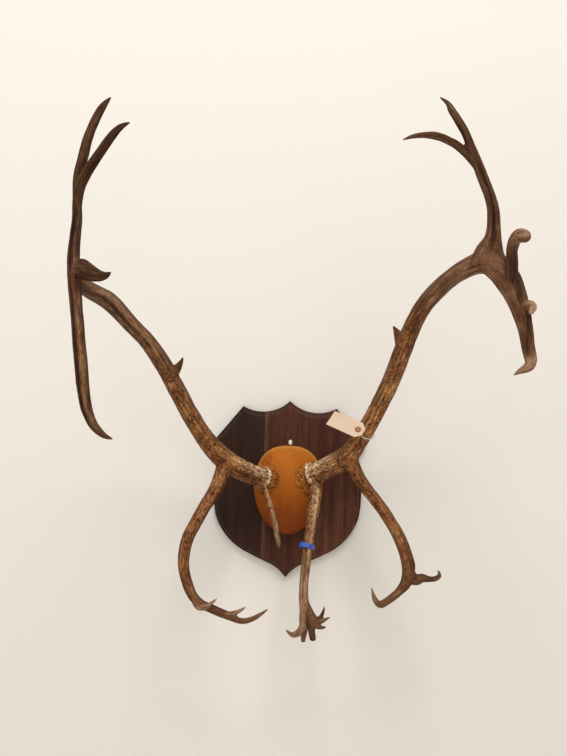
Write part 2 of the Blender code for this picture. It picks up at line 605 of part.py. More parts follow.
def build_tag(parts):
    near = -TAG_HOLE_FROM_END
    far = near + TAG_LENGTH
    half = TAG_WIDTH / 2
    outline = [(far, half), (near + TAG_CLIP, half), (near, half - TAG_CLIP), (near, TAG_CLIP - half),
               (near + TAG_CLIP, -half), (far, -half)]
    turns = [2 * math.pi * step / TAG_HOLE_STEPS for step in range(TAG_HOLE_STEPS)]
    hole = [(TAG_HOLE_RADIUS * math.cos(turn), TAG_HOLE_RADIUS * math.sin(turn)) for turn in turns]
    curve = bpy.data.curves.new("hang_tag", "CURVE")
    curve.dimensions = "2D"
    curve.fill_mode = "BOTH"
    curve.extrude = TAG_THICKNESS / 2
    for loop in (outline, hole):
        spline = curve.splines.new("POLY")
        spline.points.add(len(loop) - 1)
        for point, place in zip(spline.points, loop):
            point.co = (*place, 0.0, 1.0)
        spline.use_cyclic_u = True
    item = bpy.data.objects.new("tag_curve", curve)
    bpy.context.scene.collection.objects.link(item)
    item.matrix_world = tag_frame()
    add_object("hang_tag", mesh_from_curve("hang_tag", item), parts, make_material("tag_card"))
    neck = TAG_HOLE_RADIUS - GAP
    seat = TAG_THICKNESS / 2 + GAP
    face = seat + EYELET_RIM
    profile = [(EYELET_BORE, face), (EYELET_RADIUS, face), (EYELET_RADIUS, seat), (neck, seat),
               (neck, -seat), (EYELET_RADIUS, -seat), (EYELET_RADIUS, -face), (EYELET_BORE, -face)]
    eyelet = turned_mesh("tag_eyelet", profile, TAG_HOLE_STEPS, tag_frame())
    add_object("tag_eyelet", eyelet, parts, make_material("eyelet_brown"))


def string_route():
    """A closed loop: around the beam, out to the tag, through its eyelet and back."""
    centre = Vector(STRING_BEAM_STATION)
    axis = Vector(STRING_BEAM_AXIS).normalized()
    frame = tag_frame()
    eyelet = frame.translation
    normal = frame.to_3x3() @ Vector((0, 0, 1))
    if normal.y > 0:
        normal.negate()
    toward = eyelet - centre
    toward -= axis * toward.dot(axis)
    toward.normalize()
    aside = axis.cross(toward)
    points = []
    for step in range(STRING_ARC_STEPS + 1):
        share = step / STRING_ARC_STEPS
        angle = math.pi + STRING_ARC * (share - 0.5)
        ring = toward * math.cos(angle) + aside * math.sin(angle)
        points.append(centre + ring * STRING_LOOP_RADIUS + axis * STRING_DRIFT * (share - 0.5))
    lean = eyelet + (centre - eyelet).normalized() * STRING_LEAN
    points += [lean - normal * STRING_STAND_OFF, eyelet, lean + normal * STRING_STAND_OFF]
    return points


def build_string(parts):
    curve = bpy.data.curves.new("tag_string", "CURVE")
    curve.dimensions = "3D"
    curve.fill_mode = "FULL"
    curve.bevel_depth = STRING_RADIUS
    curve.bevel_resolution = STRING_SIDES
    route = string_route()
    spline = curve.splines.new("POLY")
    spline.points.add(len(route) - 1)
    for point, place in zip(spline.points, route):
        point.co = (*place, 1.0)
    spline.use_cyclic_u = True
    item = bpy.data.objects.new("string_curve", curve)
    bpy.context.scene.collection.objects.link(item)
    add_object("tag_string", mesh_from_curve("tag_string", item), parts, make_material("string_cotton"))


def build_peg(parts):
    profile = [(across * PEG_WIDTH / 2, height * PEG_LENGTH) for across, height in PEG_PROFILE]
    place = Vector((PEG_PLACE[0], -SHIELD_THICKNESS - GAP, PEG_PLACE[1]))
    outward = Matrix.Rotation(math.pi / 2, 4, "X")
    matrix = Matrix.Translation(place) @ outward @ Matrix.Diagonal((1, PEG_TALL, 1, 1))
    add_object("white_peg", turned_mesh("white_peg", profile, PEG_STEPS, matrix), parts,
               make_material("peg_white"))


def main():
    clear_scene()
    parts = make_collection(OBJECT_NAME)
    helpers = make_collection("cutters")
    build_shield(parts)
    add_object("leather_cap", cap_mesh("leather_cap", 0.0), parts, make_material("cap_leather"))
    cap_seat = add_helper("cap_seat", cap_mesh("cap_seat", GAP), helpers)
    build_antlers(parts, helpers, cap_seat)
    build_band(parts)
    build_tag(parts)
    build_string(parts)
    build_peg(parts)


main()
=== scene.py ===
import math

import bmesh
import bpy
import numpy as np
from mathutils import Matrix, Vector, noise


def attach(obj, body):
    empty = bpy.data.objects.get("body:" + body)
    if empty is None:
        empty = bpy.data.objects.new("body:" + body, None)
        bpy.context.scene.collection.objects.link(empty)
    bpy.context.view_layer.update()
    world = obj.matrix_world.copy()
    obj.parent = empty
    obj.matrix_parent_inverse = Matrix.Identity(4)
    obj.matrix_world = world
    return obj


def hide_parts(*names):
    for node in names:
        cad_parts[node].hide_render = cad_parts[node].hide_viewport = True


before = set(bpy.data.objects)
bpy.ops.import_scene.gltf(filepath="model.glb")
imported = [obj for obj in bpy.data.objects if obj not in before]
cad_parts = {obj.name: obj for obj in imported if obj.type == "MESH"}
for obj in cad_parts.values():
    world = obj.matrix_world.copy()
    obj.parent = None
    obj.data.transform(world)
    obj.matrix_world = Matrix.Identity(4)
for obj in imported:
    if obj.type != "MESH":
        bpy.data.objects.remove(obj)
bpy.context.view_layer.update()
print("frame loaded")

# The origin is the middle of the shield's flat back on the wall, +Z up, the front towards -Y


# Node trees and materials

class Term:                      # a socket that takes part in arithmetic: each step adds a Math node
    def __init__(self, net, socket):
        self.net = net
        self.socket = socket

    def step(self, operation, *terms):
        return self.net.add("ShaderNodeMath", dict(enumerate(terms)), operation=operation)

    def wave(self, operation):
        return self.step(operation, self)

    def __sub__(self, other):
        return self.step("SUBTRACT", self, other)

    def __rsub__(self, other):
        return self.step("SUBTRACT", other, self)

    __add__ = __radd__ = lambda self, other: self.step("ADD", self, other)
    __mul__ = __rmul__ = lambda self, other: self.step("MULTIPLY", self, other)
    __truediv__ = lambda self, other: self.step("DIVIDE", self, other)


class Net:                       # a node tree and the ways this script adds to it
    def __init__(self, tree):
        self.tree = tree

    def add(self, kind, values={}, output=0, **settings):
        node = self.tree.nodes.new(kind)
        for key, value in settings.items():
            if key == "stops":
                setStops(node.color_ramp, value)
            else:
                setattr(node, key, value)
        for key, value in values.items():
            self.feed(node.inputs[key], value)
        return Term(self, node.outputs[output])

    def feed(self, socket, value):
        if isinstance(value, Term):
            self.tree.links.new(value.socket, socket)
        else:
            socket.default_value = value

    def vector(self, operation, first, second):
        return self.add("ShaderNodeVectorMath", {0: first, 1: second}, operation=operation)

    def scaled(self, place, amount):
        return self.add("ShaderNodeVectorMath", {0: place, "Scale": amount}, operation="SCALE")

    def part(self, place, axis):
        return self.add("ShaderNodeSeparateXYZ", {0: place}, axis)

    def attribute(self, name, output=2):
        return self.add("ShaderNodeAttribute", {}, output, attribute_name=name)

    def between(self, value, low, high):
        return self.add("ShaderNodeMapRange", {0: value, 1: low, 2: high}, interpolation_type="SMOOTHSTEP")

    def clouds(self, place, stretch, detail=3, rough=0.55):
        place = self.vector("MULTIPLY", place, stretch)
        values = {"Vector": place, "Scale": 1, "Detail": detail, "Roughness": rough}
        return self.add("ShaderNodeTexNoise", values)

    def ramp(self, value, stops):
        return self.add("ShaderNodeValToRGB", {0: value}, stops=stops)

    def mix(self, share, first, second, blend="MIX"):
        values = {0: share, 6: opaque(first), 7: opaque(second)}
        return self.add("ShaderNodeMix", values, 2, data_type="RGBA", blend_type=blend)

    def coats(self, colour, *coats):
        for share, coat in coats:
            colour = self.mix(share, colour, coat)
        return colour

    def paint(self, colour, rough, height, depth, gloss):
        inputs = self.tree.nodes["Principled BSDF"].inputs
        bump = self.add("ShaderNodeBump", {"Height": height, "Distance": depth, "Strength": 1})
        for key, value in (("Base Color", colour), ("Roughness", rough), ("Normal", bump)):
            self.feed(inputs[key], value)
        inputs["Specular IOR Level"].default_value = gloss


def opaque(colour):
    return (*colour, 1) if isinstance(colour, tuple) and len(colour) == 3 else colour


def setStops(band, stops):
    while len(band.elements) < len(stops):
        band.elements.new(0.5)
    for element, (spot, colour) in zip(band.elements, stops):
        element.position = spot
        element.color = opaque(colour)


def newFinish(name):
    material = bpy.data.materials.new(name)
    material.use_nodes = True
    net = Net(material.node_tree)
    return material, net, net.add("ShaderNodeTexCoord", {}, 3)


# Geometry trees: each value of the dictionary becomes a named input

def newTree(name, values):
    tree = bpy.data.node_groups.new(name, "GeometryNodeTree")
    for way in ("INPUT", "OUTPUT"):
        tree.interface.new_socket(name="Geometry", in_out=way, socket_type="NodeSocketGeometry")
    for label, value in values.items():
        kind = "NodeSocket" + type(value).__name__.title()
        tree.interface.new_socket(name=label, in_out="INPUT", socket_type=kind)
    net = Net(tree)
    entry = tree.nodes.new("NodeGroupInput")
    return net, {socket.name: Term(net, socket) for socket in entry.outputs if socket.name}


def grow(item, net, shape, values, voxel=None):      # ends the tree, runs it and keeps the plain mesh
    whole = net.add("GeometryNodeRealizeInstances", {0: shape})
    finish = {"Geometry": whole, "Material": values["finish"]}
    leave = net.tree.nodes.new("NodeGroupOutput")
    net.feed(leave.inputs[0], net.add("GeometryNodeSetMaterial", finish))
    modifier = item.modifiers.new(net.tree.name, "NODES")
    modifier.node_group = net.tree
    for socket in net.tree.interface.items_tree:
        if socket.in_out == "INPUT" and socket.name in values:
            modifier[socket.identifier] = values[socket.name]
    if voxel:
        seamless = item.modifiers.new("seamless", "REMESH")
        seamless.mode = "VOXEL"
        seamless.voxel_size = voxel
    bpy.context.view_layer.update()
    graph = bpy.context.evaluated_depsgraph_get()
    mesh = bpy.data.meshes.new_from_object(item.evaluated_get(graph), depsgraph=graph)
    item.modifiers.clear()
    item.data = mesh
    mesh.name = item.name
    mesh.shade_smooth()
    return item


# Meshes

def newPiece(name, data, finish=None):
    item = bpy.data.objects.new(name, data)
    bpy.context.scene.collection.objects.link(item)
    if finish:
        data.materials.append(finish)
    return item


def meshFrom(name, bm, sharpAngle):
    bmesh.ops.remove_doubles(bm, verts=bm.verts, dist=0.000001)
    bmesh.ops.recalc_face_normals(bm, faces=bm.faces)
    if bm.calc_volume(signed=True) < 0:
        bmesh.ops.reverse_faces(bm, faces=bm.faces)
    mesh = bpy.data.meshes.new(name)
    bm.to_mesh(mesh)
    bm.free()
    mesh.shade_smooth()
    mesh.set_sharp_from_angle(angle=math.radians(sharpAngle))
    return mesh


def bridge(bm, rings):           # faces between closed rings of vertices
    for low, high in zip(rings, rings[1:]):
        for index in range(len(low)):
            bm.faces.new((low[index - 1], low[index], high[index], high[index - 1]))


def readRows(store, field, width=3, kind=np.float32):
    flat = np.empty(len(store) * width, kind)
    store.foreach_get(field, flat)
    return flat.reshape(-1, width).squeeze().astype(float if kind is np.float32 else int)


def writePlaces(mesh, places):
    mesh.vertices.foreach_set("co", places.astype(np.float32).ravel())
    mesh.update()


def addAttribute(mesh, name, values, domain="POINT"):
    kind, field = ("FLOAT_VECTOR", "vector") if values.ndim > 1 else ("FLOAT", "value")
    mesh.attributes.new(name, kind, domain).data.foreach_set(field, values.astype(np.float32).ravel())


def noiseAt(places, stretch, shift=0):
    return np.array([noise.noise(spot) for spot in (places * stretch + shift).tolist()])


def ease(value, low, high):
    share = np.clip((value - low) / (high - low), 0, 1)
    return share * share * (3 - 2 * share)


def bell(value, width):
    return np.exp(-(value / width) ** 2)


def unit(rows):
    return rows / np.maximum(np.linalg.norm(rows, axis=-1, keepdims=True), 1e-9)


# Antlers

# Stations of each limb in mm: x, y, z, width across and, where a limb is flat, width through
antlerRoutes = {"left": {
    "beam": [(-14, -48, 18, 28), (-29, -71, 24, 31), (-42, -81, 28, 35), (-68, -95, 36, 39),
        (-96, -113, 49, 41.5), (-131, -135, 73, 41.5), (-162, -165, 109, 36), (-189, -200, 155, 33.5),
        (-213, -238, 204, 33), (-235, -280, 250, 31.5), (-258, -325, 289, 29), (-285.2, -370, 321.1, 28.5),
        (-312.9, -415, 353, 31.4), (-337.9, -455, 368, 28), (-351.6, -485, 378.9, 24)],
    "spur": [(-228, -270, 231, 29), (-214, -264, 243, 19), (-206, -262, 256, 9.5), (-202, -261, 266, 3)],
    "browTine": [(-53, -88, 30, 22), (-47, -94, 10, 15.5), (-39, -105, -11, 11.5), (-31, -112, -34, 11),
        (-23.5, -117, -57, 11), (-20, -119, -77, 10.5), (-16, -119, -93, 9), (-14.5, -118, -104, 3.5)],
    "bezTine": [(-124, -134, 60, 35), (-139, -152, 18, 28), (-161, -168, -21, 25), (-177, -182, -51, 24),
        (-190, -195, -80, 23.5), (-195, -205, -110, 22.5), (-193, -213, -135, 21.5),
        (-185, -221, -160, 20), (-174, -229, -180, 18.5), (-160, -237, -192, 17.8),
        (-141, -244, -198, 16.5), (-121, -252, -204, 16.5), (-100, -260, -210, 15),
        (-81, -268, -215, 11.5), (-64, -275, -211, 10), (-47, -282, -200, 7.5), (-31, -288, -187, 2.5)],
    "bezFirstProng": [(-169, -234, -190, 14), (-160, -243, -198, 12.5), (-146, -252, -194, 10),
        (-134, -259, -184, 6), (-126, -263, -176, 2.2)],
    "bezSecondProng": [(-112, -256, -207, 12), (-96, -263, -203, 10), (-83, -269, -196, 7),
        (-72, -275, -187, 2.2)],
    "trunk": [(-287, -497, 127, 3, 3), (-301, -503, 133, 9.8, 9.8), (-316, -511, 149, 15, 14.5),
        (-326, -520, 174, 19, 18), (-331, -528, 207, 21, 20), (-336, -530, 252, 21.5, 22),
        (-343, -523, 300, 20.5, 26), (-351, -507, 345, 20, 32), (-356, -495, 375, 21.5, 40),
        (-359, -490, 398, 21, 44), (-360, -492, 420, 19, 41), (-357, -498, 450, 17, 34),
        (-353, -506, 479, 15.8, 28), (-352.5, -511, 504, 15.8, 26), (-346, -519, 530, 16.8, 22),
        (-329, -534, 555, 16.7, 19), (-311, -549, 576, 15.7, 17), (-294, -563, 595, 14, 15),
        (-278, -574, 609, 10.5, 11), (-261, -581, 616, 3, 3)],
    "rearTine": [(-355, -506, 508, 14), (-353, -506, 546, 17), (-346, -509, 576, 17),
        (-337, -514, 610, 15.7), (-325, -518, 637, 14), (-314, -520, 656, 11), (-302, -521, 670, 3)],
    "innerTine": [(-359.6, -500, 400.4, 20, 15), (-345, -512, 398.5, 32, 15),
        (-331.3, -521, 392.2, 29.1, 13), (-318.3, -530, 387.1, 23.9, 11), (-306.1, -538, 384.6, 17.6, 9),
        (-296.1, -543, 386.1, 10.6, 7), (-289.7, -546, 390.8, 3, 3)],
}, "right": {
    "trunk": [(14, -48, 24, 28), (28, -71, 32, 31), (40, -81, 38, 35), (62, -94, 48, 40),
        (90, -113, 65, 42), (116, -133, 85, 41), (136, -152, 117, 36), (155, -178, 155, 34),
        (172, -207, 197, 33.5), (187, -240, 239, 33.5), (199, -275, 284, 33.5), (210, -312, 326, 32.2),
        (224, -350, 363, 30.5), (244, -388, 392, 31), (267, -425, 414, 30.5), (292, -456, 429, 35, 26),
        (312, -477, 432, 44, 21), (327, -488, 421, 47, 18), (339, -497, 403, 45, 16),
        (350, -506, 378, 38, 15), (359, -513, 351, 31, 15), (366, -517, 322, 25, 15),
        (370, -521, 295, 22, 14), (373, -527, 275, 20, 14), (369, -540, 265, 17, 13),
        (360, -551, 259, 13.3, 12), (348, -560, 254, 8.5, 8.5), (338, -567, 248, 2.5, 2.5)],
    "spur": [(201, -290, 299, 34), (192, -285, 316, 20), (185, -283, 328, 9), (181, -282, 334, 3)],
    "browTine": [(50, -85, 38, 27), (54, -96, 10, 26), (53, -111, -18, 24), (47, -128, -56, 21.5),
        (43, -140, -88, 19.5), (40, -148, -112, 19), (38, -154, -138, 18), (36, -160, -165, 17.5),
        (36, -165, -192, 19), (39, -169, -211, 21), (38, -171, -230, 19), (36, -173, -246, 16),
        (27, -178, -257, 14), (15, -184, -259, 10), (3, -192, -248, 3)],
    "browDownProng": [(38, -168, -222, 14), (39, -167, -248, 14), (38, -166, -266, 11.5),
        (37, -165, -278, 8.5)],
    "browFrontProng": [(42, -168, -206, 17), (48, -178, -228, 14), (52, -192, -248, 13.5),
        (55, -206, -262, 11.5)],
    "browSideProng": [(42, -168, -208, 18), (52, -178, -224, 15.5), (62, -188, -230, 12.5),
        (71, -197, -228, 9.5), (79, -205, -222, 6), (86, -211, -217, 2.5)],
    "browUpProng": [(58, -185, -231, 10.5), (68, -192, -223, 9), (73, -199, -210, 6),
        (75, -204, -198, 2.5)],
    "browLowProng": [(50, -178, -226, 12), (61, -190, -239, 10), (70, -199, -240, 8),
        (79, -207, -237, 3.5)],
    "bezTine": [(117, -132, 80, 34), (132, -143, 50, 29), (149, -153, 26, 25), (170, -164, 1, 23.5),
        (192, -176, -28, 23.5), (212, -188, -60, 24), (225.5, -198, -92, 24.5), (232, -206, -120, 26),
        (227, -218, -145, 21), (210, -234, -162, 15.5), (190, -249, -174, 13.5), (175, -261, -179, 13.5),
        (164, -271, -168, 9.5), (156, -282, -145, 3)],
    "bezProng": [(229, -206, -126, 23), (243, -221, -139, 21), (254, -236, -133, 16.5),
        (264, -248, -132, 12), (274, -260, -129, 10.5), (281, -269, -121, 8), (277, -276, -109, 2.5)],
    "upperTine": [(310, -476, 424, 60, 15), (313, -482, 447, 50, 16), (316.5, -488, 474, 27, 17),
        (314, -497, 507, 20.4, 18), (307, -504, 530, 18.7, 18), (296, -513, 552, 17.5, 17.5),
        (283, -524, 576, 17.3, 17), (269, -537, 600, 15.4, 15), (257, -548, 621, 13.4, 13),
        (244, -557, 638, 12.7, 12.5), (232, -564, 652, 11.8, 11.5), (223, -570, 663, 7.7, 7.5),
        (210, -575, 670, 2.5, 2.5)],
    "sideTine": [(290, -516, 567, 13), (268, -530, 589, 14), (246, -545, 602.5, 13.5),
        (226, -558, 609, 12.5), (206, -570, 612, 11.5), (186, -580, 610, 9), (168, -588, 605, 6.5),
        (153, -594, 598, 2.5)],
    "knob": [(354.5, -494.5, 358, 9), (350, -496, 380, 15), (346, -498, 396, 21), (343, -510, 430, 19),
        (340, -521, 448, 18), (341, -536, 461, 20), (345, -553, 466, 21.5), (349, -566, 462, 20.5),
        (350, -575, 458, 11.5)],
    "smallKnob": [(364, -512, 360, 17), (371, -522, 360, 16.5), (372.7, -534, 355.8, 13.2),
        (368.6, -541, 349.2, 10.6), (365.3, -545, 344.8, 5.6)],
}}

antlerShape = {
    "spacing": 0.003,            # between the sections of a limb
    "sweep": {"sectionSides": 30, "fluteCount": 7.0, "fluteHeight": 0.02},
    "voxel": 0.0016,
    "webWidth": 0.006,           # how far from a fork the limbs flow together
    "webRounds": 16,
    "mingle": 0.012,             # how far their colours run into each other
    "veinDepth": 0.00045, "fleckDepth": 0.0003,
    "lumpHeight": 0.001, "pearlHeight": 0.0012, "burrHeight": 0.003,
}

# How each limb looks along its length, in hundredths, as pairs of share and value: tone (0 rough and
# golden, 1 smooth and grey brown), pale (worn towards horn white) and shade (scales the colour)
limbLooks = {
    "beam": ((0, 0, 50, 15, 70, 45, 84, 90, 100, 100), (0, 35, 10, 15, 20, 0, 85, 5, 100, 30),
        (0, 125, 30, 115, 50, 90, 80, 74, 100, 76)),
    "spur": ((0, 30, 100, 50), (0, 0, 100, 0), (0, 85, 50, 65, 100, 50)),
    "browTine": ((0, 0, 35, 20, 60, 80, 100, 100), (0, 10, 30, 8, 90, 35, 100, 30),
        (0, 95, 35, 100, 60, 112, 100, 92)),
    "bezTine": ((0, 10, 50, 25, 75, 60, 100, 80), (0, 0, 80, 5, 100, 40),
        (0, 88, 45, 86, 60, 72, 85, 68, 100, 78)),
    "bezFirstProng": ((0, 70, 100, 90), (0, 10, 30, 40, 100, 55), (0, 80, 30, 100, 100, 95)),
    "bezSecondProng": ((0, 70, 100, 90), (0, 10, 30, 40, 100, 55), (0, 80, 30, 100, 100, 95)),
    "bezProng": ((0, 70, 100, 90), (0, 0, 70, 5, 100, 35), (0, 60, 50, 62, 100, 78)),
    "trunk": ((0, 70, 30, 60, 60, 80, 100, 90), (0, 35, 6, 10, 12, 0, 90, 0, 100, 10),
        (0, 60, 35, 57, 45, 46, 60, 39, 100, 36)),
    "rightTrunk": ((0, 0, 35, 10, 52, 25, 60, 90, 100, 80),
        (0, 35, 6, 20, 12, 0, 91.5, 0, 94, 40, 100, 45),
        (0, 150, 30, 128, 45, 84, 54, 77, 60, 92, 68, 100, 78, 75, 91.5, 62, 94, 90, 100, 86)),
    "rearTine": ((0, 90, 100, 100), (0, 0, 85, 5, 100, 10), (0, 38, 100, 46)),
    "innerTine": ((0, 100, 14, 100, 22, 85, 100, 85), (0, 25, 14, 15, 20, 0, 100, 0),
        (0, 85, 13, 80, 21, 30, 100, 27)),
    "upperTine": ((0, 90, 100, 100), (0, 0, 90, 0, 100, 15), (0, 100, 12, 85, 30, 56, 100, 52)),
    "sideTine": ((0, 90, 100, 100), (0, 0, 90, 0, 100, 20), (0, 50, 100, 55)),
    "knob": ((0, 90, 100, 100), (0, 0, 55, 0, 75, 30, 100, 40), (0, 62, 50, 58, 70, 75, 100, 92)),
    "smallKnob": ((0, 90, 100, 80), (0, 10, 40, 40, 100, 60), (0, 60, 40, 90, 100, 100)),
    "burr": ((0, 0, 100, 0), (0, 50, 50, 30, 70, 15, 100, 20),
        (0, 60, 10, 110, 30, 140, 60, 120, 100, 110)),
    "browFrontProng": ((0, 90, 100, 90), (0, 0, 100, 10), (0, 50, 100, 42)),
    "browUpProng": ((0, 90, 100, 90), (0, 0, 100, 0), (0, 50, 100, 40)),
    "prong": ((0, 50, 100, 80), (0, 5, 60, 10, 100, 35), (0, 80, 100, 75)),
}

# Channels and ridges along a limb: from and to station, turn from the front at both ends in degrees,
# half width at both ends and rise in mm, and tint in hundredths (dark below zero, the channel's own darker
# colour with painted shade in it; pale above, the ridge's paler colour with a painted highlight on it)
limbLines = {
    "left": [("beam", 1, 7, 14, -12, 2, 1.4, -0.6, -45), ("beam", 3, 9, -34, -20, 1.4, 1.4, -0.4, -30),
        ("beam", 4, 12, 40, 30, 1.8, 1.8, -0.4, -35), ("beam", 2, 10, 2, -14, 3, 2.2, 0.4, 40),
        ("beam", 5, 11.6, -48, -40, 2.2, 2.2, 0.4, 35), ("beam", 8.6, 12.4, 10, 4, 3.6, 2.6, -0.5, -65),
        ("beam", 7.4, 11.2, -14, -18, 0.8, 0.7, 0.4, 95), ("beam", 7.8, 11.4, -27, -32, 0.7, 0.7, 0.4, 90),
        ("beam", 7.6, 10.6, 28, 24, 0.7, 0.7, 0.4, 80), ("innerTine", 0.6, 5.9, 66, 60, 1.4, 1, 0.3, 60),
        ("trunk", 1, 7.6, -10, -14, 3, 3.4, 1, 60), ("trunk", 1.5, 8.2, 32, 22, 4, 3.6, -1.4, -100),
        ("trunk", 8.2, 13.5, 16, 4, 3.4, 2.8, -1.2, -90), ("trunk", 9.2, 12.6, -22, -26, 2, 1.6, 0.6, 55),
        ("rearTine", 0.5, 4.5, 20, 14, 2.2, 1.8, 0.6, 25)],
    "right": [("trunk", 2, 11.5, 6, -4, 2, 1.6, -0.6, -45), ("trunk", 3, 10, 34, 26, 1.6, 1.6, -0.4, -30),
        ("trunk", 4, 10.5, -36, -30, 1.6, 1.6, -0.4, -25), ("trunk", 3, 9.6, 18, 8, 2.6, 2.2, 0.4, 30),
        ("trunk", 5, 12, -14, -20, 1.2, 1.2, 0.3, 25), ("trunk", 14.2, 18.1, 58, 6, 6.6, 3.8, -3, -75),
        ("trunk", 17.7, 21.4, 54, -50, 3.4, 3.4, -2.4, -62),
        ("trunk", 18.6, 21.8, 74, 40, 2.6, 3.2, 0.3, 45), ("knob", -1, 5, 8, -14, 6.4, 3.6, -1.6, -68),
        ("trunk", 12, 14.6, 34, 10, 1, 1, 0.4, 35), ("trunk", 10.6, 14, -30, -44, 1.6, 1.2, -0.4, -45),
        ("upperTine", 6.2, 11.7, 12, 6, 2.2, 1.4, 0.4, 40),
        ("sideTine", 0.8, 5.6, 30, 40, 1.8, 1.2, 0.3, 30), ("upperTine", 1, 6.5, 0, 6, 3.4, 2, -1.6, -90),
        ("upperTine", 1.2, 8, -44, -40, 1.6, 1.4, 0.6, 30),
        ("browTine", 4, 9, -16, -6, 1.4, 1.4, -0.7, -60), ("browTine", 0.6, 6, 24, 18, 3.8, 2.8, 0.4, 50)],
}

burrSections = [(3.5, 36), (5.5, 43.5), (8.5, 45.5), (11.5, 43), (16, 38)]     # along the beam, and width
burrPlaces = {                   # base, and the direction in which the beam leaves
    "left": ((-42, -81, 28), (-0.83, -0.47, 0.28)),
    "right": ((40, -81, 38), (0.8, -0.45, 0.36)),
}


def followStations(stations, spacing):
    full = np.array([(*row, row[3])[:5] for row in stations]) / 1000
    padded = np.vstack([full[:1], full, full[-1:]])
    rows, numbers = [], []
    for index in range(len(full) - 1):
        before, start, end, after = padded[index:index + 4]
        steps = max(1, round(math.dist(start[:3], end[:3]) / spacing))
        for t in np.arange(steps) / steps:
            rows.append(0.5 * (2 * start + (end - before) * t
                + (2 * before - 5 * start + 4 * end - after) * t ** 2
                + (3 * start - before - 3 * end + after) * t ** 3))
            numbers.append(index + t)
    return np.array(rows + [full[-1]]), np.array(numbers + [len(full) - 1])


def makeLimb(name, stations, spacing):
    rows, numbers = followStations(stations, spacing)
    spot = rows[:, :3]
    ahead = unit(np.gradient(spot, axis=0))
    across = []
    carried = np.zeros(3)
    for heading in ahead:        # stays square to the view where the limb lets it
        seen = np.cross((0, -1, 0), heading)
        share = np.clip(np.linalg.norm(seen) / 0.25 - 1, 0, 1) if across else 1
        seen = -seen if seen @ carried < 0 else seen
        kept = unit(carried - heading * (carried @ heading))
        carried = unit(kept * (1 - share) + unit(seen) * share)
        across.append(carried)
    along = np.append(0, np.cumsum(np.linalg.norm(np.diff(spot, axis=0), axis=1)))
    halfAcross, halfThrough = rows[:, 3:].T / 2
    return {"name": name, "spot": spot, "ahead": ahead, "across": np.array(across),
        "through": np.cross(across, ahead), "halfAcross": halfAcross, "halfThrough": halfThrough,
        "station": numbers, "along": along, "size": np.sqrt(halfAcross * halfThrough).mean()}


def makeLimbs(side, spacing):    # a beam starts under its burr, which is the last limb
    base, direction = burrPlaces[side]
    heading = Vector(direction).normalized()
    limbs = []
    for name, stations in antlerRoutes[side].items():
        if name in ("beam", "trunk") and math.dist(stations[2][:3], base) < 1:
            stations = [(*(Vector(base) + heading * 4), stations[2][3])] + stations[3:]
        limbs.append(makeLimb(name, stations, spacing))
    stations = [(*(Vector(base) + heading * along), width) for along, width in burrSections]
    return limbs + [makeLimb("burr", stations, 0.001)]


def limbRails(name, limbs):
    mesh = bpy.data.meshes.new(name)
    edges = []
    start = 0
    for limb in limbs:
        count = len(limb["spot"])
        edges += [(start + index, start + index + 1) for index in range(count - 1)]
        limb["phase"] = np.full(count, start * 0.37)
        start += count
    mesh.from_pydata(np.vstack([limb["spot"] for limb in limbs]).tolist(), edges, [])
    for key in ("spot", "across", "through", "halfAcross", "halfThrough", "phase"):
        addAttribute(mesh, key, np.concatenate([limb[key] for limb in limbs]))
    return mesh


def sweepLimbs(name, limbs, shape, finish):      # each chain of points becomes a fluted oval limb
    values = {**shape["sweep"], "finish": finish}
    net, given = newTree("limbSweep", values)

    def read(name, kind="FLOAT"):
        return net.add("GeometryNodeInputNamedAttribute", {"Name": name}, data_type=kind)

    rails = net.add("GeometryNodeMeshToCurve", {"Mesh": given["Geometry"]})
    circle = net.add("GeometryNodeCurvePrimitiveCircle", {"Resolution": given["sectionSides"]})
    turn = net.add("GeometryNodeInputIndex") * (2 * math.pi) / given["sectionSides"]
    profile = {"Geometry": circle, "Name": "turn", "Value": turn}
    profile = net.add("GeometryNodeStoreNamedAttribute", profile)
    tube = {"Curve": rails, "Profile Curve": profile, "Fill Caps": True}
    tube = net.add("GeometryNodeCurveToMesh", tube)
    angle = read("turn")
    swell = 1.0 + (angle * given["fluteCount"] + read("phase")).wave("COSINE") * given["fluteHeight"]
    aside = net.scaled(read("across", "FLOAT_VECTOR"), angle.wave("COSINE") * read("halfAcross") * swell)
    deep = net.scaled(read("through", "FLOAT_VECTOR"), angle.wave("SINE") * read("halfThrough") * swell)
    place = net.vector("ADD", read("spot", "FLOAT_VECTOR"), net.vector("ADD", aside, deep))
    shaped = net.add("GeometryNodeSetPosition", {"Geometry": tube, "Position": place})
    return grow(newPiece(name, limbRails(name, limbs)), net, shaped, values, shape["voxel"])


def measure(limb, places):       # where each place lies in a limb's own frame
    centres = limb["spot"]
    squares = (centres ** 2).sum(1)
    blocks = np.array_split(places, len(places) // 20000 + 1)
    nearest = np.concatenate([(squares - 2 * block @ centres.T).argmin(1) for block in blocks])
    offset = places - centres[nearest]
    ahead, side, deep = [(offset * limb[key][nearest]).sum(1) for key in ("ahead", "across", "through")]
    wide, thick = limb["halfAcross"][nearest], limb["halfThrough"][nearest]
    gap = (np.hypot(side / wide, deep / thick) - 1) * np.minimum(wide, thick)
    gap += np.maximum(np.abs(ahead) - antlerShape["spacing"], 0)
    return {"gap": gap, "side": side / wide, "deep": deep / thick, "along": limb["along"][nearest] + ahead,
        "station": limb["station"][nearest], "wide": wide, "thick": thick}


def grainOf(limb, at, rows, number):
    ring = np.array([at["side"][rows], at["deep"][rows]])
    ring *= limb["size"] / np.maximum(np.hypot(*ring), 1e-6)
    return np.column_stack([*ring, at["along"][rows] + number * 1.7])


def relax(places, edges, weight, rounds):
    one, two = np.vstack([edges, edges[:, ::-1]]).T
    links = np.maximum(np.bincount(one, minlength=len(places)), 1)
    for _ in range(rounds):
        mean = [np.bincount(one, places[two, axis], len(places)) / links for axis in range(3)]
        places = places + (np.transpose(mean) - places) * weight[:, None]
    return places


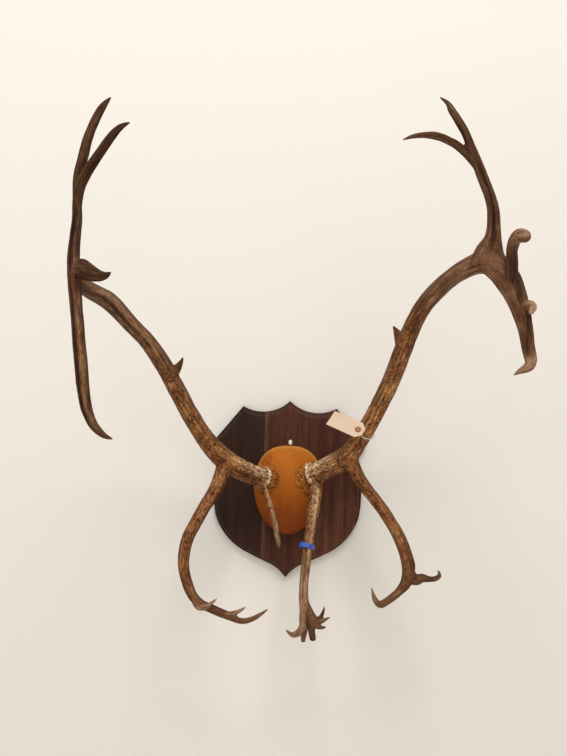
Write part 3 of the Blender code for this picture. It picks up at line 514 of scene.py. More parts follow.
def addLines(side, limbs, seen, nearest):
    rise, tint = np.zeros((2, len(nearest)))
    names = [limb["name"] for limb in limbs]
    for name, first, last, startTurn, endTurn, startHalf, endHalf, height, shade in limbLines[side]:
        number = names.index(name)
        rows = np.nonzero(nearest == number)[0]
        at = {key: values[rows] for key, values in seen[number].items()}
        share = (at["station"] - first) / (last - first)
        wander = noiseAt(np.column_stack([at["along"], rows * 0, rows * 0]), 45, first * 7.7) * 9
        turn = np.radians(startTurn + (endTurn - startTurn) * share + wander)
        aside = (at["side"] - np.sin(turn)) * at["wide"] * 1000
        close = bell(aside, startHalf + (endHalf - startHalf) * np.clip(share, 0, 1)) * (at["deep"] < 0)
        close *= ease(share, 0, 0.2) * (1 - ease(share, 0.75, 1))
        rise[rows] += close * height / 1000
        tint[rows] += close * shade / 100
    return rise, tint


def makeAntler(side, name, finish, shape):
    limbs = makeLimbs(side, shape["spacing"])
    item = sweepLimbs(name, limbs, shape, finish)
    mesh = item.data
    places = readRows(mesh.vertices, "co")
    edges = readRows(mesh.edges, "vertices", 2, np.int32)
    seen = [measure(limb, places) for limb in limbs]
    gaps = np.array([at["gap"] for at in seen])
    everyone = np.arange(len(places))
    nearest, second = np.argsort(gaps, axis=0)[:2]
    spread = gaps[second, everyone] - gaps[nearest, everyone]
    burr = len(limbs) - 1
    sizes = np.array([limb["size"] for limb in limbs])
    size = np.minimum(sizes[nearest], sizes[second])
    web = bell(spread, np.minimum(shape["webWidth"], 0.4 * size)) * (nearest != burr) * (second != burr)
    places = relax(places, edges, np.full(len(places), 0.5), 2)
    places = relax(places, edges, web * 0.6, shape["webRounds"])
    writePlaces(mesh, places)
    normals = readRows(mesh.vertex_normals, "vector")

    layers = np.zeros((5, len(places)))
    vein, fleck, tone, pale, shade = layers
    mingle = np.clip(0.8 * size, 0.002, shape["mingle"])
    blend = 1 - ease(spread, -mingle, mingle)
    for number, limb in enumerate(limbs):
        look = limbLooks.get(side + limb["name"].title(), limbLooks.get(limb["name"], limbLooks["prong"]))
        for chosen, weight in ((nearest, 1 - blend), (second, blend)):
            rows = np.nonzero((chosen == number) & (weight > 0.01))[0]
            grain = grainOf(limb, seen[number], rows, number)
            share = seen[number]["along"][rows] / limb["along"][-1] * 100
            marks = [bell(noiseAt(grain, (260, 260, 18)), 0.08)]
            marks += [ease(noiseAt(grain, (560, 560, 100), 5), 0.08, 0.4)]
            marks += [np.interp(share, row[::2], row[1::2]) / 100 for row in look]
            layers[:, rows] += weight[rows] * np.array(marks)
    rough = 1 - 0.8 * ease(tone, 0.3, 0.8)
    base = np.array(burrPlaces[side][0]) / 1000
    nearBase = 1 - ease(np.linalg.norm(places - base, axis=1), 0.03, 0.17)
    pearl = noiseAt(places, 210, 11)
    onBurr = bell(np.maximum(gaps[burr], 0), 0.003)
    rim = seen[burr]["along"] + noiseAt(places, 190, 17) * 0.0035
    # painted shadow in the groove between the burr rim and the beam
    rimShadow = bell(rim - 0.0108, 0.0016) * (nearest == burr)
    rim = bell(rim - 0.0048, 0.0034) * (nearest == burr)
    rise, tint = addLines(side, limbs, seen, nearest)
    lump = noiseAt(places, 24) * 0.6 + noiseAt(places, 60, 3) * 0.4
    height = (lump * shape["lumpHeight"] + rise + pearl * nearBase * shape["pearlHeight"]
        - (vein * shape["veinDepth"] + fleck * shape["fleckDepth"]) * rough
        + noiseAt(places, 260, 21) * (0.5 * onBurr + rim) * shape["burrHeight"])
    aside, deep, thick = [np.array([at[key] for at in seen])[nearest, everyone]
        for key in ("side", "deep", "thick")]
    writePlaces(mesh, places + normals * (height * ease(thick, 0.001, 0.006))[:, None])

    # darkening: the veins and flecks, partly their own colour and partly painted shade, and painted shade in
    # the dark line channels and between the pearls near the base
    hollow = (vein * 0.4 + fleck * 0.28) * rough - tint + np.clip(-pearl - 0.08, 0, 1) * nearBase * 1.7
    # near the base the upward faces turn paler, partly wear and partly painted light from above; the pale line
    # tints add their painted highlights
    pale = pale + 0.3 * nearBase * ease(normals[:, 2], 0.1, 0.8)
    pale = pale * (1 + ease(pearl, 0.05, 0.4) * nearBase) + np.clip(tint, 0, 1) + rim
    # painted light on the upward faces near the base, and painted shade on their undersides except on the burr
    shade = shade + 0.45 * nearBase * ease(normals[:, 2], 0, 0.8)
    shade *= 1 - 0.5 * nearBase * (1 - onBurr) * ease(-normals[:, 2], -0.2, 0.45)
    # greyer towards the sides as seen from the front, away from the base: a painted grazing sheen
    tone = tone + 0.6 * ease(np.abs(aside), 0.6, 0.95) * (1 - nearBase)
    addAttribute(mesh, "hollow", np.clip(hollow * (1 - 0.9 * rim) + rimShadow * 0.6, 0, 1))
    addAttribute(mesh, "tone", np.clip(tone, 0, 1))
    addAttribute(mesh, "pale", np.clip(pale, 0, 1))
    # darker from the front-facing side towards the sides and back: painted shade
    addAttribute(mesh, "shade", shade * (1 - 0.35 * ease(deep, -0.75, 0.1)))
    addGrain(mesh, limbs, seen, (nearest, second), gaps, mingle)
    return item


def addGrain(mesh, limbs, seen, owners, gaps, mingle):
    corners = readRows(mesh.loops, "vertex_index", 1, np.int32)
    firsts, totals = [readRows(mesh.polygons, "loop_" + key, 1, np.int32) for key in ("start", "total")]
    lead = np.repeat(corners[firsts], totals)     # every corner of a face uses the face's own two limbs
    pairs = np.sort([owner[lead] for owner in owners], axis=0)
    grains = np.zeros((2, len(corners), 3))
    for number, limb in enumerate(limbs):
        for slot in (0, 1):
            rows = np.nonzero(pairs[slot] == number)[0]
            grains[slot, rows] = grainOf(limb, seen[number], corners[rows], number)
    spread = gaps[pairs[1], corners] - gaps[pairs[0], corners]
    addAttribute(mesh, "grainFirst", grains[0], "CORNER")
    addAttribute(mesh, "grainOther", grains[1], "CORNER")
    addAttribute(mesh, "grainShare", 1 - ease(spread, -mingle[corners], mingle[corners]), "CORNER")


antlerColours = {
    "golden": [(0.36, (0.05, 0.013, 0.004)), (0.44, (0.15, 0.046, 0.013)), (0.52, (0.275, 0.102, 0.028)),
               (0.62, (0.64, 0.345, 0.12))],
    "grey": [(0.38, (0.06, 0.025, 0.012)), (0.46, (0.122, 0.055, 0.028)), (0.54, (0.197, 0.102, 0.058)),
             (0.64, (0.355, 0.225, 0.146))],
    "horn": [(0.38, (0.24, 0.126, 0.06)), (0.6, (0.64, 0.45, 0.265))],
    # the last is the dark of the veins and of the painted shade in channels, recesses and the burr groove
    "fleck": (0.022, 0.008, 0.004), "hollow": (0.018, 0.007, 0.004),
    "roughness": (0.55, 0.2), "grainBump": 0.0007,
}


def makeAntlerFinish(colours):
    material, net, place = newFinish("antler")
    grains = [net.attribute("grainFirst", 1), net.attribute("grainOther", 1)]
    share, tone, hollow, pale, shade = [net.attribute(name) for name in
        ("grainShare", "tone", "hollow", "pale", "shade")]

    def flowing(stretch, detail, rough):
        first, other = [net.clouds(grain, stretch, detail, rough) for grain in grains]
        return first + (other - first) * share

    broad = flowing((270, 270, 17), 4, 0.62)
    fine = flowing((640, 640, 80), 3, 0.65)
    fleck = flowing((620, 620, 170), 2, 0.5)
    patch = net.clouds(place, (34, 34, 34), 2, 0.5)
    golden = net.ramp(broad * 0.28 + fine * 0.26 + fleck * 0.28 + patch * 0.18, colours["golden"])
    grey = net.ramp(broad * 0.5 + fine * 0.3 + patch * 0.2, colours["grey"])
    horn = net.ramp(broad * 0.4 + fine * 0.6, colours["horn"])
    spots = net.between(fleck, 0.48, 0.39) * net.between(patch, 0.7, 0.42)
    spots = spots * (1 - tone * 0.85) * (1 - pale * 0.7)
    # the last coat darkens the veins, partly their own colour, and paints the shade in channels, recesses and
    # the burr groove
    base = net.coats(golden, (tone, grey), (pale * net.between(fine + pale * 0.14, 0.32, 0.62), horn),
        (spots * 0.85, colours["fleck"]), (hollow * 0.9, colours["hollow"]))
    warm = {0: shade, 1: shade * (0.71 + 0.29 * shade), 2: shade * (0.53 + 0.47 * shade)}
    tinted = net.add("ShaderNodeCombineColor", warm)      # darker parts are redder
    low, more = colours["roughness"]
    net.paint(net.mix(1, base, tinted, "MULTIPLY"), low + more * fine + 0.12 * spots,
        broad * 0.5 + fine * 0.6 - spots * 0.5, colours["grainBump"], 0.1)
    return material


antlerFinish = makeAntlerFinish(antlerColours)
leftAntler = makeAntler("left", "leftAntler", antlerFinish, antlerShape)
rightAntler = makeAntler("right", "rightAntler", antlerFinish, antlerShape)
print("antlers grown:", len(leftAntler.data.polygons), len(rightAntler.data.polygons), "faces")


# Shield

shieldShape = {
    "outline": [(0, 0.1855, -0.0165), (0.098, 0.172, 0), (0.16, 0.095, -0.004), (0.146, 0.058, 0.006),
                (0.15, -0.055, 0.0105), (0.085, -0.132, 0.0005), (0.031, -0.157, -0.0025),
                (0, -0.184, 0)],     # x, z, and how far the next edge bows out of its chord
    "spacing": 0.0035,
    "backSlab": 0.0103,
    "backEase": 0.0006,
    "moulding": [(0.3, 0.6), (0.9, 0.7), (1.6, 0.4), (1.2, 0.1), (0.6, 0.4), (0.2, 1.4), (0.2, 1.6),
                 (0.6, 1.6), (1, 1.4), (1, 1), (0.9, 0.6), (0.6, 0.4), (0.7, 0.2), (1, 0.1)],
    "seam": -0.0515,             # where the boards are glued
}
shieldFront = shieldShape["backSlab"] + sum(rise for _, rise in shieldShape["moulding"]) / 1000


def insetOutline(spots, bows, inward):     # the same arcs moved in, as new corners and bows
    halves = [(end - start) / 2 for start, end in zip(spots, spots[1:] + spots[:1])]
    outside = [half / abs(half) * 1j for half in halves]
    turns = [np.exp(2j * math.atan(bow / abs(half))) for bow, half in zip(bows, halves)]
    moved = []
    for index, spot in enumerate(spots):
        before, after = outside[index - 1] / turns[index - 1], outside[index] * turns[index]
        moved.append(spot - (before + after) * inward / (1 + (before * after.conjugate()).real))
    bent = []
    for index, (start, end) in enumerate(zip(moved, moved[1:] + moved[:1])):
        crown = spots[index] + halves[index] + outside[index] * (bows[index] - inward)
        across = (end - start) / abs(end - start) * 1j
        bent.append(((crown - (start + end) / 2) * across.conjugate()).real)
    return moved, bent


def arcPoints(start, end, bow, steps):
    half = (end - start) / 2
    shares = [1 - 2 * step / steps for step in range(steps)]
    if abs(bow) < 1e-7:
        return [start + half * (1 - share) for share in shares]
    radius = (abs(half) ** 2 + bow * bow) / (2 * bow)
    outside = half / abs(half) * 1j
    spread = math.asin(abs(half) / radius)
    return [start + half + outside * (bow - radius + radius * np.exp(1j * spread * share))
        for share in shares]


def makeShield(finish, shape):
    right = [complex(x, z) for x, z, _ in shape["outline"]]      # clockwise from the top
    spots = right + [-spot.conjugate() for spot in right[-2:0:-1]]
    bows = [bow for _, _, bow in shape["outline"][:-1]]
    bows += bows[::-1]
    steps = [max(2, round(abs(end - start) / shape["spacing"]))
        for start, end in zip(spots, spots[1:] + spots[:1])]
    inward, height, edge = 0, shape["backSlab"], shape["backEase"]
    levels = [(edge, 0), (0, edge), (0, height / 2), (0, height)]
    for step, rise in shape["moulding"]:         # in mm, as steps inwards and off the wall
        inward += step / 1000
        height += rise / 1000
        levels.append((inward, height))
    bm = bmesh.new()
    rings = []
    for inward, height in levels:
        moved, bent = insetOutline(spots, bows, inward)
        ring = []
        for edge in zip(moved, moved[1:] + moved[:1], bent, steps):
            ring += [bm.verts.new((point.real, -height, point.imag)) for point in arcPoints(*edge)]
        rings.append(ring)
    bridge(bm, rings)
    bm.faces.new(rings[0])
    bm.faces.new(rings[-1])
    return newPiece("shieldPlaque", meshFrom("shieldPlaque", bm, 32), finish)


walnutColours = {
    "darkBoard": [(0.36, (0.017, 0.006, 0.0036)), (0.64, (0.034, 0.0125, 0.0072))],
    "redBoard": [(0.34, (0.038, 0.0108, 0.0056)), (0.5, (0.062, 0.0185, 0.0092)),
                 (0.68, (0.096, 0.033, 0.0165))],
    "figure": (0.16, 0.059, 0.027), "streak": (0.12, 0.055, 0.033), "pore": (0.008, 0.003, 0.002),
    "roughness": (0.42, 0.16),
}


def makeWalnutFinish(colours, seam):
    material, net, place = newFinish("walnut")
    x, y, z = [net.part(place, axis) for axis in range(3)]
    shifted = x + net.clouds(place, (9, 9, 3), 2) * 0.01
    figure = net.add("ShaderNodeCombineXYZ", {0: shifted, 1: y, 2: z})
    broad = net.clouds(figure, (75, 60, 5), 4, 0.6)
    fine = net.clouds(figure, (420, 300, 14), 3, 0.6)
    pores = net.between(net.clouds(figure, (1500, 900, 60), 1), 0.6, 0.7)
    grain = broad * 0.65 + fine * 0.35
    right = net.between(x, seam - 0.0006, seam + 0.0006)
    red = right + (1 - right) * net.between(-0.04 - z, 0, 0.12) * 0.35
    flame = net.between(x, 0, 0.1) * net.between(0.02 - z, 0, 0.08) * net.between(grain, 0.35, 0.7)
    strip = right * (1 - net.between(x + fine * 0.004, seam + 0.004, seam + 0.013))
    wood = net.coats(net.ramp(grain, colours["darkBoard"]), (red, net.ramp(grain, colours["redBoard"])),
        (flame * 0.8, colours["figure"]), (strip * 0.6, colours["streak"]),
        (pores * 0.6, colours["pore"]))
    least, more = colours["roughness"]
    net.paint(wood, least + more * fine, fine * 0.4 - pores * 0.6, 0.00025, 0.16)
    return material


shieldPlaque = makeShield(makeWalnutFinish(walnutColours, shieldShape["seam"]), shieldShape)
print("shield routed:", len(shieldPlaque.data.polygons), "faces")


# Leather cap

capShape = {
    "centre": (0.001, 0.001), "halfWidth": 0.0715, "rise": 0.092, "drop": 0.093, "height": 0.054,
    "fullAbove": 2.5, "fullBelow": 1.8, "spread": 0.9, "squareness": 0.85,
    "segments": 300, "rings": 74,
    "collars": [((-0.0455, 0.029), (0.0225, 0.032)), ((0.044, 0.033), (0.029, 0.034))],
    "collarHeight": 0.015, "lumpHeight": 0.0055,
    "tuck": ((-0.0385, 0.078), (-0.037, 0.06)),
    "wrinkle": 0.0009,
}


def capPlaces(directions, shape):
    x, y, up = directions.T
    flat = np.maximum(np.hypot(x, y), 1e-6)
    power = np.where(y > 0, 2 / shape["fullAbove"], 2 / shape["fullBelow"])
    reach = np.where(y > 0, shape["rise"], shape["drop"]) * flat ** shape["spread"]
    aside = (np.abs(x) / flat) ** power * np.sign(x) * shape["halfWidth"] * flat ** shape["spread"]
    height = shape["height"] * np.maximum(up, 0) ** shape["squareness"]
    return np.column_stack([shape["centre"][0] + aside, -shieldFront - 0.0003 - height,
        shape["centre"][1] + (np.abs(y) / flat) ** power * np.sign(y) * reach])


def makeCap(finish, shape):
    bm = bmesh.new()
    bmesh.ops.create_uvsphere(bm, u_segments=shape["segments"], v_segments=2 * shape["rings"], radius=1)
    bmesh.ops.delete(bm, geom=[vert for vert in bm.verts if vert.co.z < -0.001], context="VERTS")
    bmesh.ops.contextual_create(bm, geom=[edge for edge in bm.edges if edge.is_boundary])
    grown = capPlaces(np.array([vert.co for vert in bm.verts]), shape)
    for vert, place in zip(bm.verts, grown):
        vert.co = place
    mesh = meshFrom("leatherCap", bm, 60)
    places = readRows(mesh.vertices, "co")
    normals = readRows(mesh.vertex_normals, "vector")
    x, y, z = places.T
    off = ease(-y, shieldFront + 0.0005, shieldFront + 0.006)
    height = noiseAt(places, 28, 2) * 0.001
    frayed, crease = np.zeros((2, len(places)))
    lumps = noiseAt(places, 150, 9) * 0.45 + noiseAt(places, 330, 9) * 0.35
    lumps += noiseAt(places, 600, 4) * 0.3
    for (atX, atZ), (wide, tall) in shape["collars"]:
        angle = np.arctan2(z - atZ, x - atX)
        around = np.column_stack([np.cos(angle), np.sin(angle), angle * 0])
        reach = np.hypot((x - atX) / wide, (z - atZ) / tall) + ease(z, atZ + 0.008, atZ + 0.032) * 0.16
        reach += noiseAt(around, 2.4, atX * 90) * 0.14 + noiseAt(around, 9, 3) * 0.1
        torn = ease(reach, 1.06, 0.86)
        dent = bell(reach - 1.03, 0.05)
        height += ease(reach, 1.04, 0.45) * shape["collarHeight"]
        height += torn * lumps * shape["lumpHeight"] - dent * 0.0012
        height += noiseAt(around, 5, 31) * shape["wrinkle"] * ease(reach, 1.5, 1.05) * (1 - torn)
        frayed = np.maximum(frayed, torn)
        # painted shade in the dents along the collar border and in the pits between the torn lumps
        broken = dent * 0.6 * ease(noiseAt(around, 3, 8), -0.1, 0.4)
        crease = np.max([crease, broken, ease(lumps, -0.12, -0.34) * torn], axis=0)
    for base, _ in burrPlaces.values():      # the shadowed gap under each burr
        gap = np.linalg.norm(places - np.array(base) / 1000, axis=1) + noiseAt(places, 260, 6) * 0.003
        crease = np.maximum(crease, 0.7 * ease(gap, 0.027, 0.023))
    (tuckX, tuckTop), (endX, tuckEnd) = shape["tuck"]
    along = np.clip((tuckTop - z) / (tuckTop - tuckEnd), 0, 1)
    slit = bell(x - (tuckX + (endX - tuckX) * along), 0.0011)
    slit *= ease(z, tuckEnd - 0.005, tuckEnd + 0.004) * ease(z, tuckTop + 0.005, tuckTop - 0.004)
    addAttribute(mesh, "frayed", frayed * off)
    # painted shade in the creases, in the gaps under the burrs and in the tuck slit
    addAttribute(mesh, "crease", np.maximum(crease, slit * 0.7) * off)
    addAttribute(mesh, "flushed", ease(x, tuckX + 0.001, tuckX - 0.003) * ease(z, 0.02, 0.05))
    # a painted highlight in a band round the lower edge of the cap, on its upper half
    addAttribute(mesh, "edge", bell(-y - shieldFront - 0.012, 0.008) * ease(z, -0.02, 0.05))
    writePlaces(mesh, places + normals * ((height - slit * 0.0012) * off)[:, None])
    return newPiece("leatherCap", mesh, finish)


leatherColours = {
    "low": (0.2, 0.038, 0.002), "high": (0.42, 0.125, 0.009), "worn": (0.5, 0.175, 0.02),
    "red": (0.28, 0.06, 0.005), "gold": (0.72, 0.36, 0.09), "shade": (0.045, 0.012, 0.002),
    "roughness": (0.5, 0.18),
}


def makeLeatherFinish(name, colours, flecked):
    material, net, place = newFinish(name)
    red, gold, shade = colours["red"], colours["gold"], colours["shade"]
    blotch = net.clouds(place, (22, 22, 14), 3)
    brushed = net.clouds(place, (95, 95, 45), 4)
    grit = net.clouds(place, (900, 900, 900), 3)
    chips = net.clouds(place, (430, 430, 260), 3)
    pebble = {"Vector": place, "Scale": 620}
    pebble = net.add("ShaderNodeTexVoronoi", pebble, feature="DISTANCE_TO_EDGE")
    frayed = net.attribute("frayed")
    if flecked:
        skin = net.mix(net.between(chips, 0.35, 0.65), red, gold)
    else:
        # lighter towards the top: painted light from above, which also scales the worn patches
        light = net.between(net.part(place, 2) + (blotch - 0.5) * 0.08, -0.085, 0.075)
        skin = net.coats(net.mix(light, colours["low"], colours["high"]),
            (net.between(blotch, 0.46, 0.72) * 0.38, red),
            (net.between(brushed, 0.5, 0.75) * 0.32 * light, colours["worn"]),
            # the edge coat is a painted highlight along the cap's upper rim
            (net.attribute("flushed") * 0.6, red), (net.attribute("edge") * 0.5, gold),
            # painted shade in the creases and, in the frayed collars, in the gaps between the chips
            (net.attribute("crease") * 0.8, shade), (frayed * 0.2, red),
            (frayed * net.between(chips, 0.54, 0.64), gold),
            (frayed * net.between(chips, 0.43, 0.33) * 0.7, shade))
    low, more = colours["roughness"]
    height = net.between(pebble, 0, 0.09) * 0.5 + grit * 0.5
    net.paint(skin, low + more * blotch + 0.2 * frayed, height, 0.00022, 0.12)
    return material


leatherCap = makeCap(makeLeatherFinish("capLeather", leatherColours, False), capShape)
print("cap stretched:", len(leatherCap.data.polygons), "faces")


# Leather crumbs around the burrs

crumbShape = {"density": 85000.0, "size": 0.0012, "seed": 5}


def makeCrumbs(cap, shape):      # torn flakes that lie on the frayed collars
    values = {**shape, "finish": makeLeatherFinish("crumbLeather", leatherColours, True)}
    net, given = newTree("crumbScatter", values)
    seed, width = given["seed"], given["size"]
    frayed = net.add("GeometryNodeInputNamedAttribute", {"Name": "frayed"})
    heaped = net.add("ShaderNodeTexNoise", {"Scale": 130, "Detail": 1})
    chance = net.between(frayed, 0.25, 0.75) * net.between(heaped, 0.38, 0.58) * given["density"]
    scatter = {"Mesh": given["Geometry"], "Density": chance, "Seed": seed}
    points = net.add("GeometryNodeDistributePointsOnFaces", scatter)
    turn = {0: (0, 0, 0), 1: (6.28, 6.28, 6.28), "Seed": seed}
    turn = net.add("FunctionNodeRandomValue", turn, data_type="FLOAT_VECTOR")
    size = net.add("FunctionNodeRandomValue", {2: 0.45, 3: 1.5, "Seed": seed}, 1)
    flake = net.add("GeometryNodeMeshIcoSphere", {"Radius": width, "Subdivisions": 2})
    dent = net.add("ShaderNodeTexNoise", {"Scale": 900, "Detail": 1}, 1)
    lean = net.scaled(net.vector("SUBTRACT", dent, (0.5, 0.5, 0.5)), width * 2.2)
    torn = net.add("GeometryNodeSetPosition", {"Geometry": flake, "Offset": lean})
    flat = net.add("GeometryNodeTransform", {"Geometry": torn, "Scale": (2, 0.7, 0.45)})
    spread = {"Points": points, "Instance": flat, "Rotation": turn, "Scale": size}
    spread = net.add("GeometryNodeInstanceOnPoints", spread)
    item = newPiece("leatherCrumbs", cap.data.copy())
    item.data.materials.clear()
    grow(item, net, spread, values).data.shade_flat()
    return item


leatherCrumbs = makeCrumbs(leatherCap, crumbShape)
print("crumbs scattered:", len(leatherCrumbs.data.polygons), "faces")


# Finishes of the small pieces

smallFinishes = {                # clean and soiled colour; scale of the soiling, where it starts and is
    # full, and its strength; scale of the fine grain; least and added roughness; depth of the bump
    "sealBlue": ((0.022, 0.085, 0.42), (0.08, 0.2, 0.62), 290, 0.56, 0.72, 0.5, 290, 0.32, 0.1, 0.00015),
    "tagCard": ((0.64, 0.48, 0.355), (0.56, 0.4, 0.29), 45, 0.4, 0.75, 0.5, 700, 0.74, 0.2, 0.00012),
    "eyeletBrown": ((0.3, 0.075, 0.045), (0.46, 0.17, 0.11), 1100, 0.5, 0.7, 0.6, 1100, 0.62, 0.2, 0.00012),
    "stringCotton": ((0.76, 0.72, 0.64), (0.52, 0.44, 0.34), 120, 0, 1, 0.6, 1600, 0.82, 0.15, 0.0001),
    "pegWhite": ((0.78, 0.75, 0.7), (0.48, 0.42, 0.35), 180, 0.5, 0.75, 0.5, 180, 0.45, 0.2, 0.0001),
}


def makeSmallFinish(name):
    clean, soiled, broad, start, full, strength, fine, least, more, depth = smallFinishes[name]
    material, net, place = newFinish(name)
    soil = net.between(net.clouds(place, (broad,) * 3), start, full)
    grain = net.clouds(place, (fine,) * 3)
    net.paint(net.mix(soil * strength, clean, soiled), least + more * grain, grain, depth, 0.5)
    return material


# Seal band

bandShape = {"centre": (0.0395, -0.1415, -0.0955), "axis": (-0.22, -0.3, -0.93), "radius": 0.015,
             "height": 0.009, "thickness": 0.0012, "steps": 96, "edge": 0.0004, "wave": 0.0004}


def turnPiece(name, finish, profile, steps, matrix, wave=0):     # a profile spun around +Z
    turns = np.exp(2j * math.pi * np.arange(steps) / steps)
    bm = bmesh.new()
    rings = [[bm.verts.new((spot.real, spot.imag, height)) for spot in radius * turns]
        for radius, height in profile]
    bridge(bm, rings + (rings[:1] if profile[0][0] > 0 else []))
    bmesh.ops.transform(bm, matrix=matrix, verts=bm.verts)
    mesh = meshFrom(name, bm, 40)
    places = readRows(mesh.vertices, "co")
    outward = unit(places - np.array(matrix.translation))
    writePlaces(mesh, places + outward * (noiseAt(places, 70, 6) * wave)[:, None])
    return newPiece(name, mesh, makeSmallFinish(finish))


def makeBand(shape):
    outer, half, edge = shape["radius"], shape["height"] / 2, shape["edge"]
    inner = outer - shape["thickness"]
    upper = [(outer, half - edge), (outer - edge, half), (inner + edge, half), (inner, half - edge)]
    profile = upper + [(radius, -height) for radius, height in reversed(upper)]
    turn = Vector(shape["axis"]).to_track_quat("Z", "Y").to_matrix().to_4x4()
    matrix = Matrix.Translation(shape["centre"]) @ turn
    return turnPiece("sealBand", "sealBlue", profile, shape["steps"], matrix, shape["wave"])


sealBand = makeBand(bandShape)


# Card tag and its eyelet

tagShape = {
    "length": 0.072, "halfWidth": 0.0175, "clip": 0.01, "thickness": 0.0006, "hole": 0.0038,
    "holeFromEnd": 0.012,
    "end": (0.14, -0.1965, 0.1345), "along": (-0.87, 0.34, 0.35), "across": (0.53, 0.42, 0.73),
    "eyelet": 0.0062, "bore": 0.0025, "rim": 0.0006, "steps": 64, "curl": 0.0012,
    "rings": (0, 0.02, 0.15, 0.3, 0.45, 0.6, 0.75, 0.88, 0.96, 0.99, 1),
}


def tagFrame(shape):             # +X from the holed end to the square end, +Y across, origin at the hole
    along = Vector(shape["along"]).normalized()
    facing = along.cross(Vector(shape["across"])).normalized()
    turn = Matrix((along, facing.cross(along), facing)).transposed().to_4x4()
    return Matrix.Translation(Vector(shape["end"]) + along * shape["holeFromEnd"]) @ turn


def makeTag(finish, shape):
    near, half, clip, hole = [shape[key] for key in ("holeFromEnd", "halfWidth", "clip", "hole")]
    far = shape["length"] - near
    slant = (near + half - clip) / math.sqrt(2)
    sides = [(1, 0, far), (-1, 0, near), (0, 1, half), (0, -1, half), (-0.7071, 0.7071, slant),
        (-0.7071, -0.7071, slant)]
    corners = [(far, half), (clip - near, half), (-near, half - clip)]
    angles = {math.atan2(y * way, x) % (2 * math.pi) for x, y in corners for way in (1, -1)}
    angles = sorted(angles | {2 * math.pi * step / shape["steps"] for step in range(shape["steps"])})
    heading = np.array([np.cos(angles), np.sin(angles)])
    reach = np.maximum(np.array([(x, y) for x, y, _ in sides]) @ heading, 1e-6)
    edge = np.min([limit / row for row, (_, _, limit) in zip(reach, sides)], axis=0)
    bm = bmesh.new()
    rings = []
    for level, shares in ((1, shape["rings"]), (-1, shape["rings"][::-1])):
        for share in shares:
            x, y = heading * (hole + (edge - hole) * share)
            away = np.maximum(0, x - 0.012) / 0.048
            bend = shape["curl"] * away ** 2 * (1 + y / half) - 0.0007 * (y / half) ** 2 * away
            eased = shape["thickness"] / 2 * (0.55 if share in (0, 1) else 1)
            rings.append([bm.verts.new(spot) for spot in zip(x, y, bend + level * eased)])
    bridge(bm, rings + rings[:1])
    bmesh.ops.transform(bm, matrix=tagFrame(shape), verts=bm.verts)
    return newPiece("hangTag", meshFrom("hangTag", bm, 35), finish)


def makeEyelet(shape):
    seat = shape["thickness"] / 2 + 0.0001
    face = seat + shape["rim"] + 0.0001
    rim, bore = shape["eyelet"], shape["bore"]
    half = [(bore, face - 0.0003), (bore + 0.0004, face), (rim - 0.0007, face), (rim - 0.0001, face - 0.0002),
        (rim, face - 0.0005), (rim - 0.0002, seat), (shape["hole"] - 0.0002, seat)]
    profile = half + [(radius, -height) for radius, height in reversed(half)]
    return turnPiece("tagEyelet", "eyeletBrown", profile, 48, tagFrame(shape))


hangTag = makeTag(makeSmallFinish("tagCard"), tagShape)
tagEyelet = makeEyelet(tagShape)
print("tag cut")


# String

stringShape = {"plies": {"plyRadius": 0.00042, "lay": 0.00048, "turns": 58.0}, "beam": (0.145, -0.164, 0.1345),
               "beamAxis": (0.38, -0.52, 0.77), "loop": 0.0202, "arc": 300, "arcSteps": 60, "drift": 0.003,
               "standOff": 0.004, "lean": 0.0015}


def stringRoute(shape, turned):  # around the beam and through the eyelet
    centre, eyelet = Vector(shape["beam"]), turned.translation
    axis = Vector(shape["beamAxis"]).normalized()
    normal = turned.to_3x3() @ Vector((0, 0, 1))
    normal *= shape["standOff"] * (-1 if normal.y > 0 else 1)
    toward = eyelet - centre
    toward = (toward - axis * toward.dot(axis)).normalized()
    points = []
    for step in range(shape["arcSteps"] + 1):
        share = step / shape["arcSteps"] - 0.5
        angle = math.pi + math.radians(shape["arc"]) * share
        ring = toward * math.cos(angle) + axis.cross(toward) * math.sin(angle)
        points.append(centre + ring * shape["loop"] + axis * shape["drift"] * share)
    lean = eyelet + (centre - eyelet).normalized() * shape["lean"]
    return points + [lean - normal, eyelet, lean + normal]


def makeString(finish, shape, turned):   # three plies laid around a closed route
    values = {**shape["plies"], "finish": finish}
    net, given = newTree("twistedString", values)
    rail = net.add("GeometryNodeMeshToCurve", {"Mesh": given["Geometry"]})
    rail = net.add("GeometryNodeResampleCurve", {"Curve": rail, "Length": 0.00035}, mode="LENGTH")
    normal = net.add("GeometryNodeInputNormal")
    other = net.vector("CROSS_PRODUCT", net.add("GeometryNodeInputTangent"), normal)
    share = net.add("GeometryNodeSplineParameter")
    circle = {"Resolution": 8, "Radius": given["plyRadius"]}
    circle = net.add("GeometryNodeCurvePrimitiveCircle", circle)
    join = net.tree.nodes.new("GeometryNodeJoinGeometry")
    for ply in range(3):
        angle = share * given["turns"] * (2 * math.pi) + 2 * math.pi * ply / 3
        offset = net.vector("ADD", net.scaled(normal, angle.wave("COSINE") * given["lay"]),
            net.scaled(other, angle.wave("SINE") * given["lay"]))
        strand = net.add("GeometryNodeSetPosition", {"Geometry": rail, "Offset": offset})
        tube = net.add("GeometryNodeCurveToMesh", {"Curve": strand, "Profile Curve": circle})
        net.tree.links.new(tube.socket, join.inputs[0])
    route = stringRoute(shape, turned)
    mesh = bpy.data.meshes.new("tagString")
    mesh.from_pydata(route, [(index, (index + 1) % len(route)) for index in range(len(route))], [])
    return grow(newPiece("tagString", mesh), net, Term(net, join.outputs[0]), values)


tagString = makeString(makeSmallFinish("stringCotton"), stringShape, tagFrame(tagShape))
print("string tied:", len(tagString.data.polygons), "faces")


# White peg above the cap

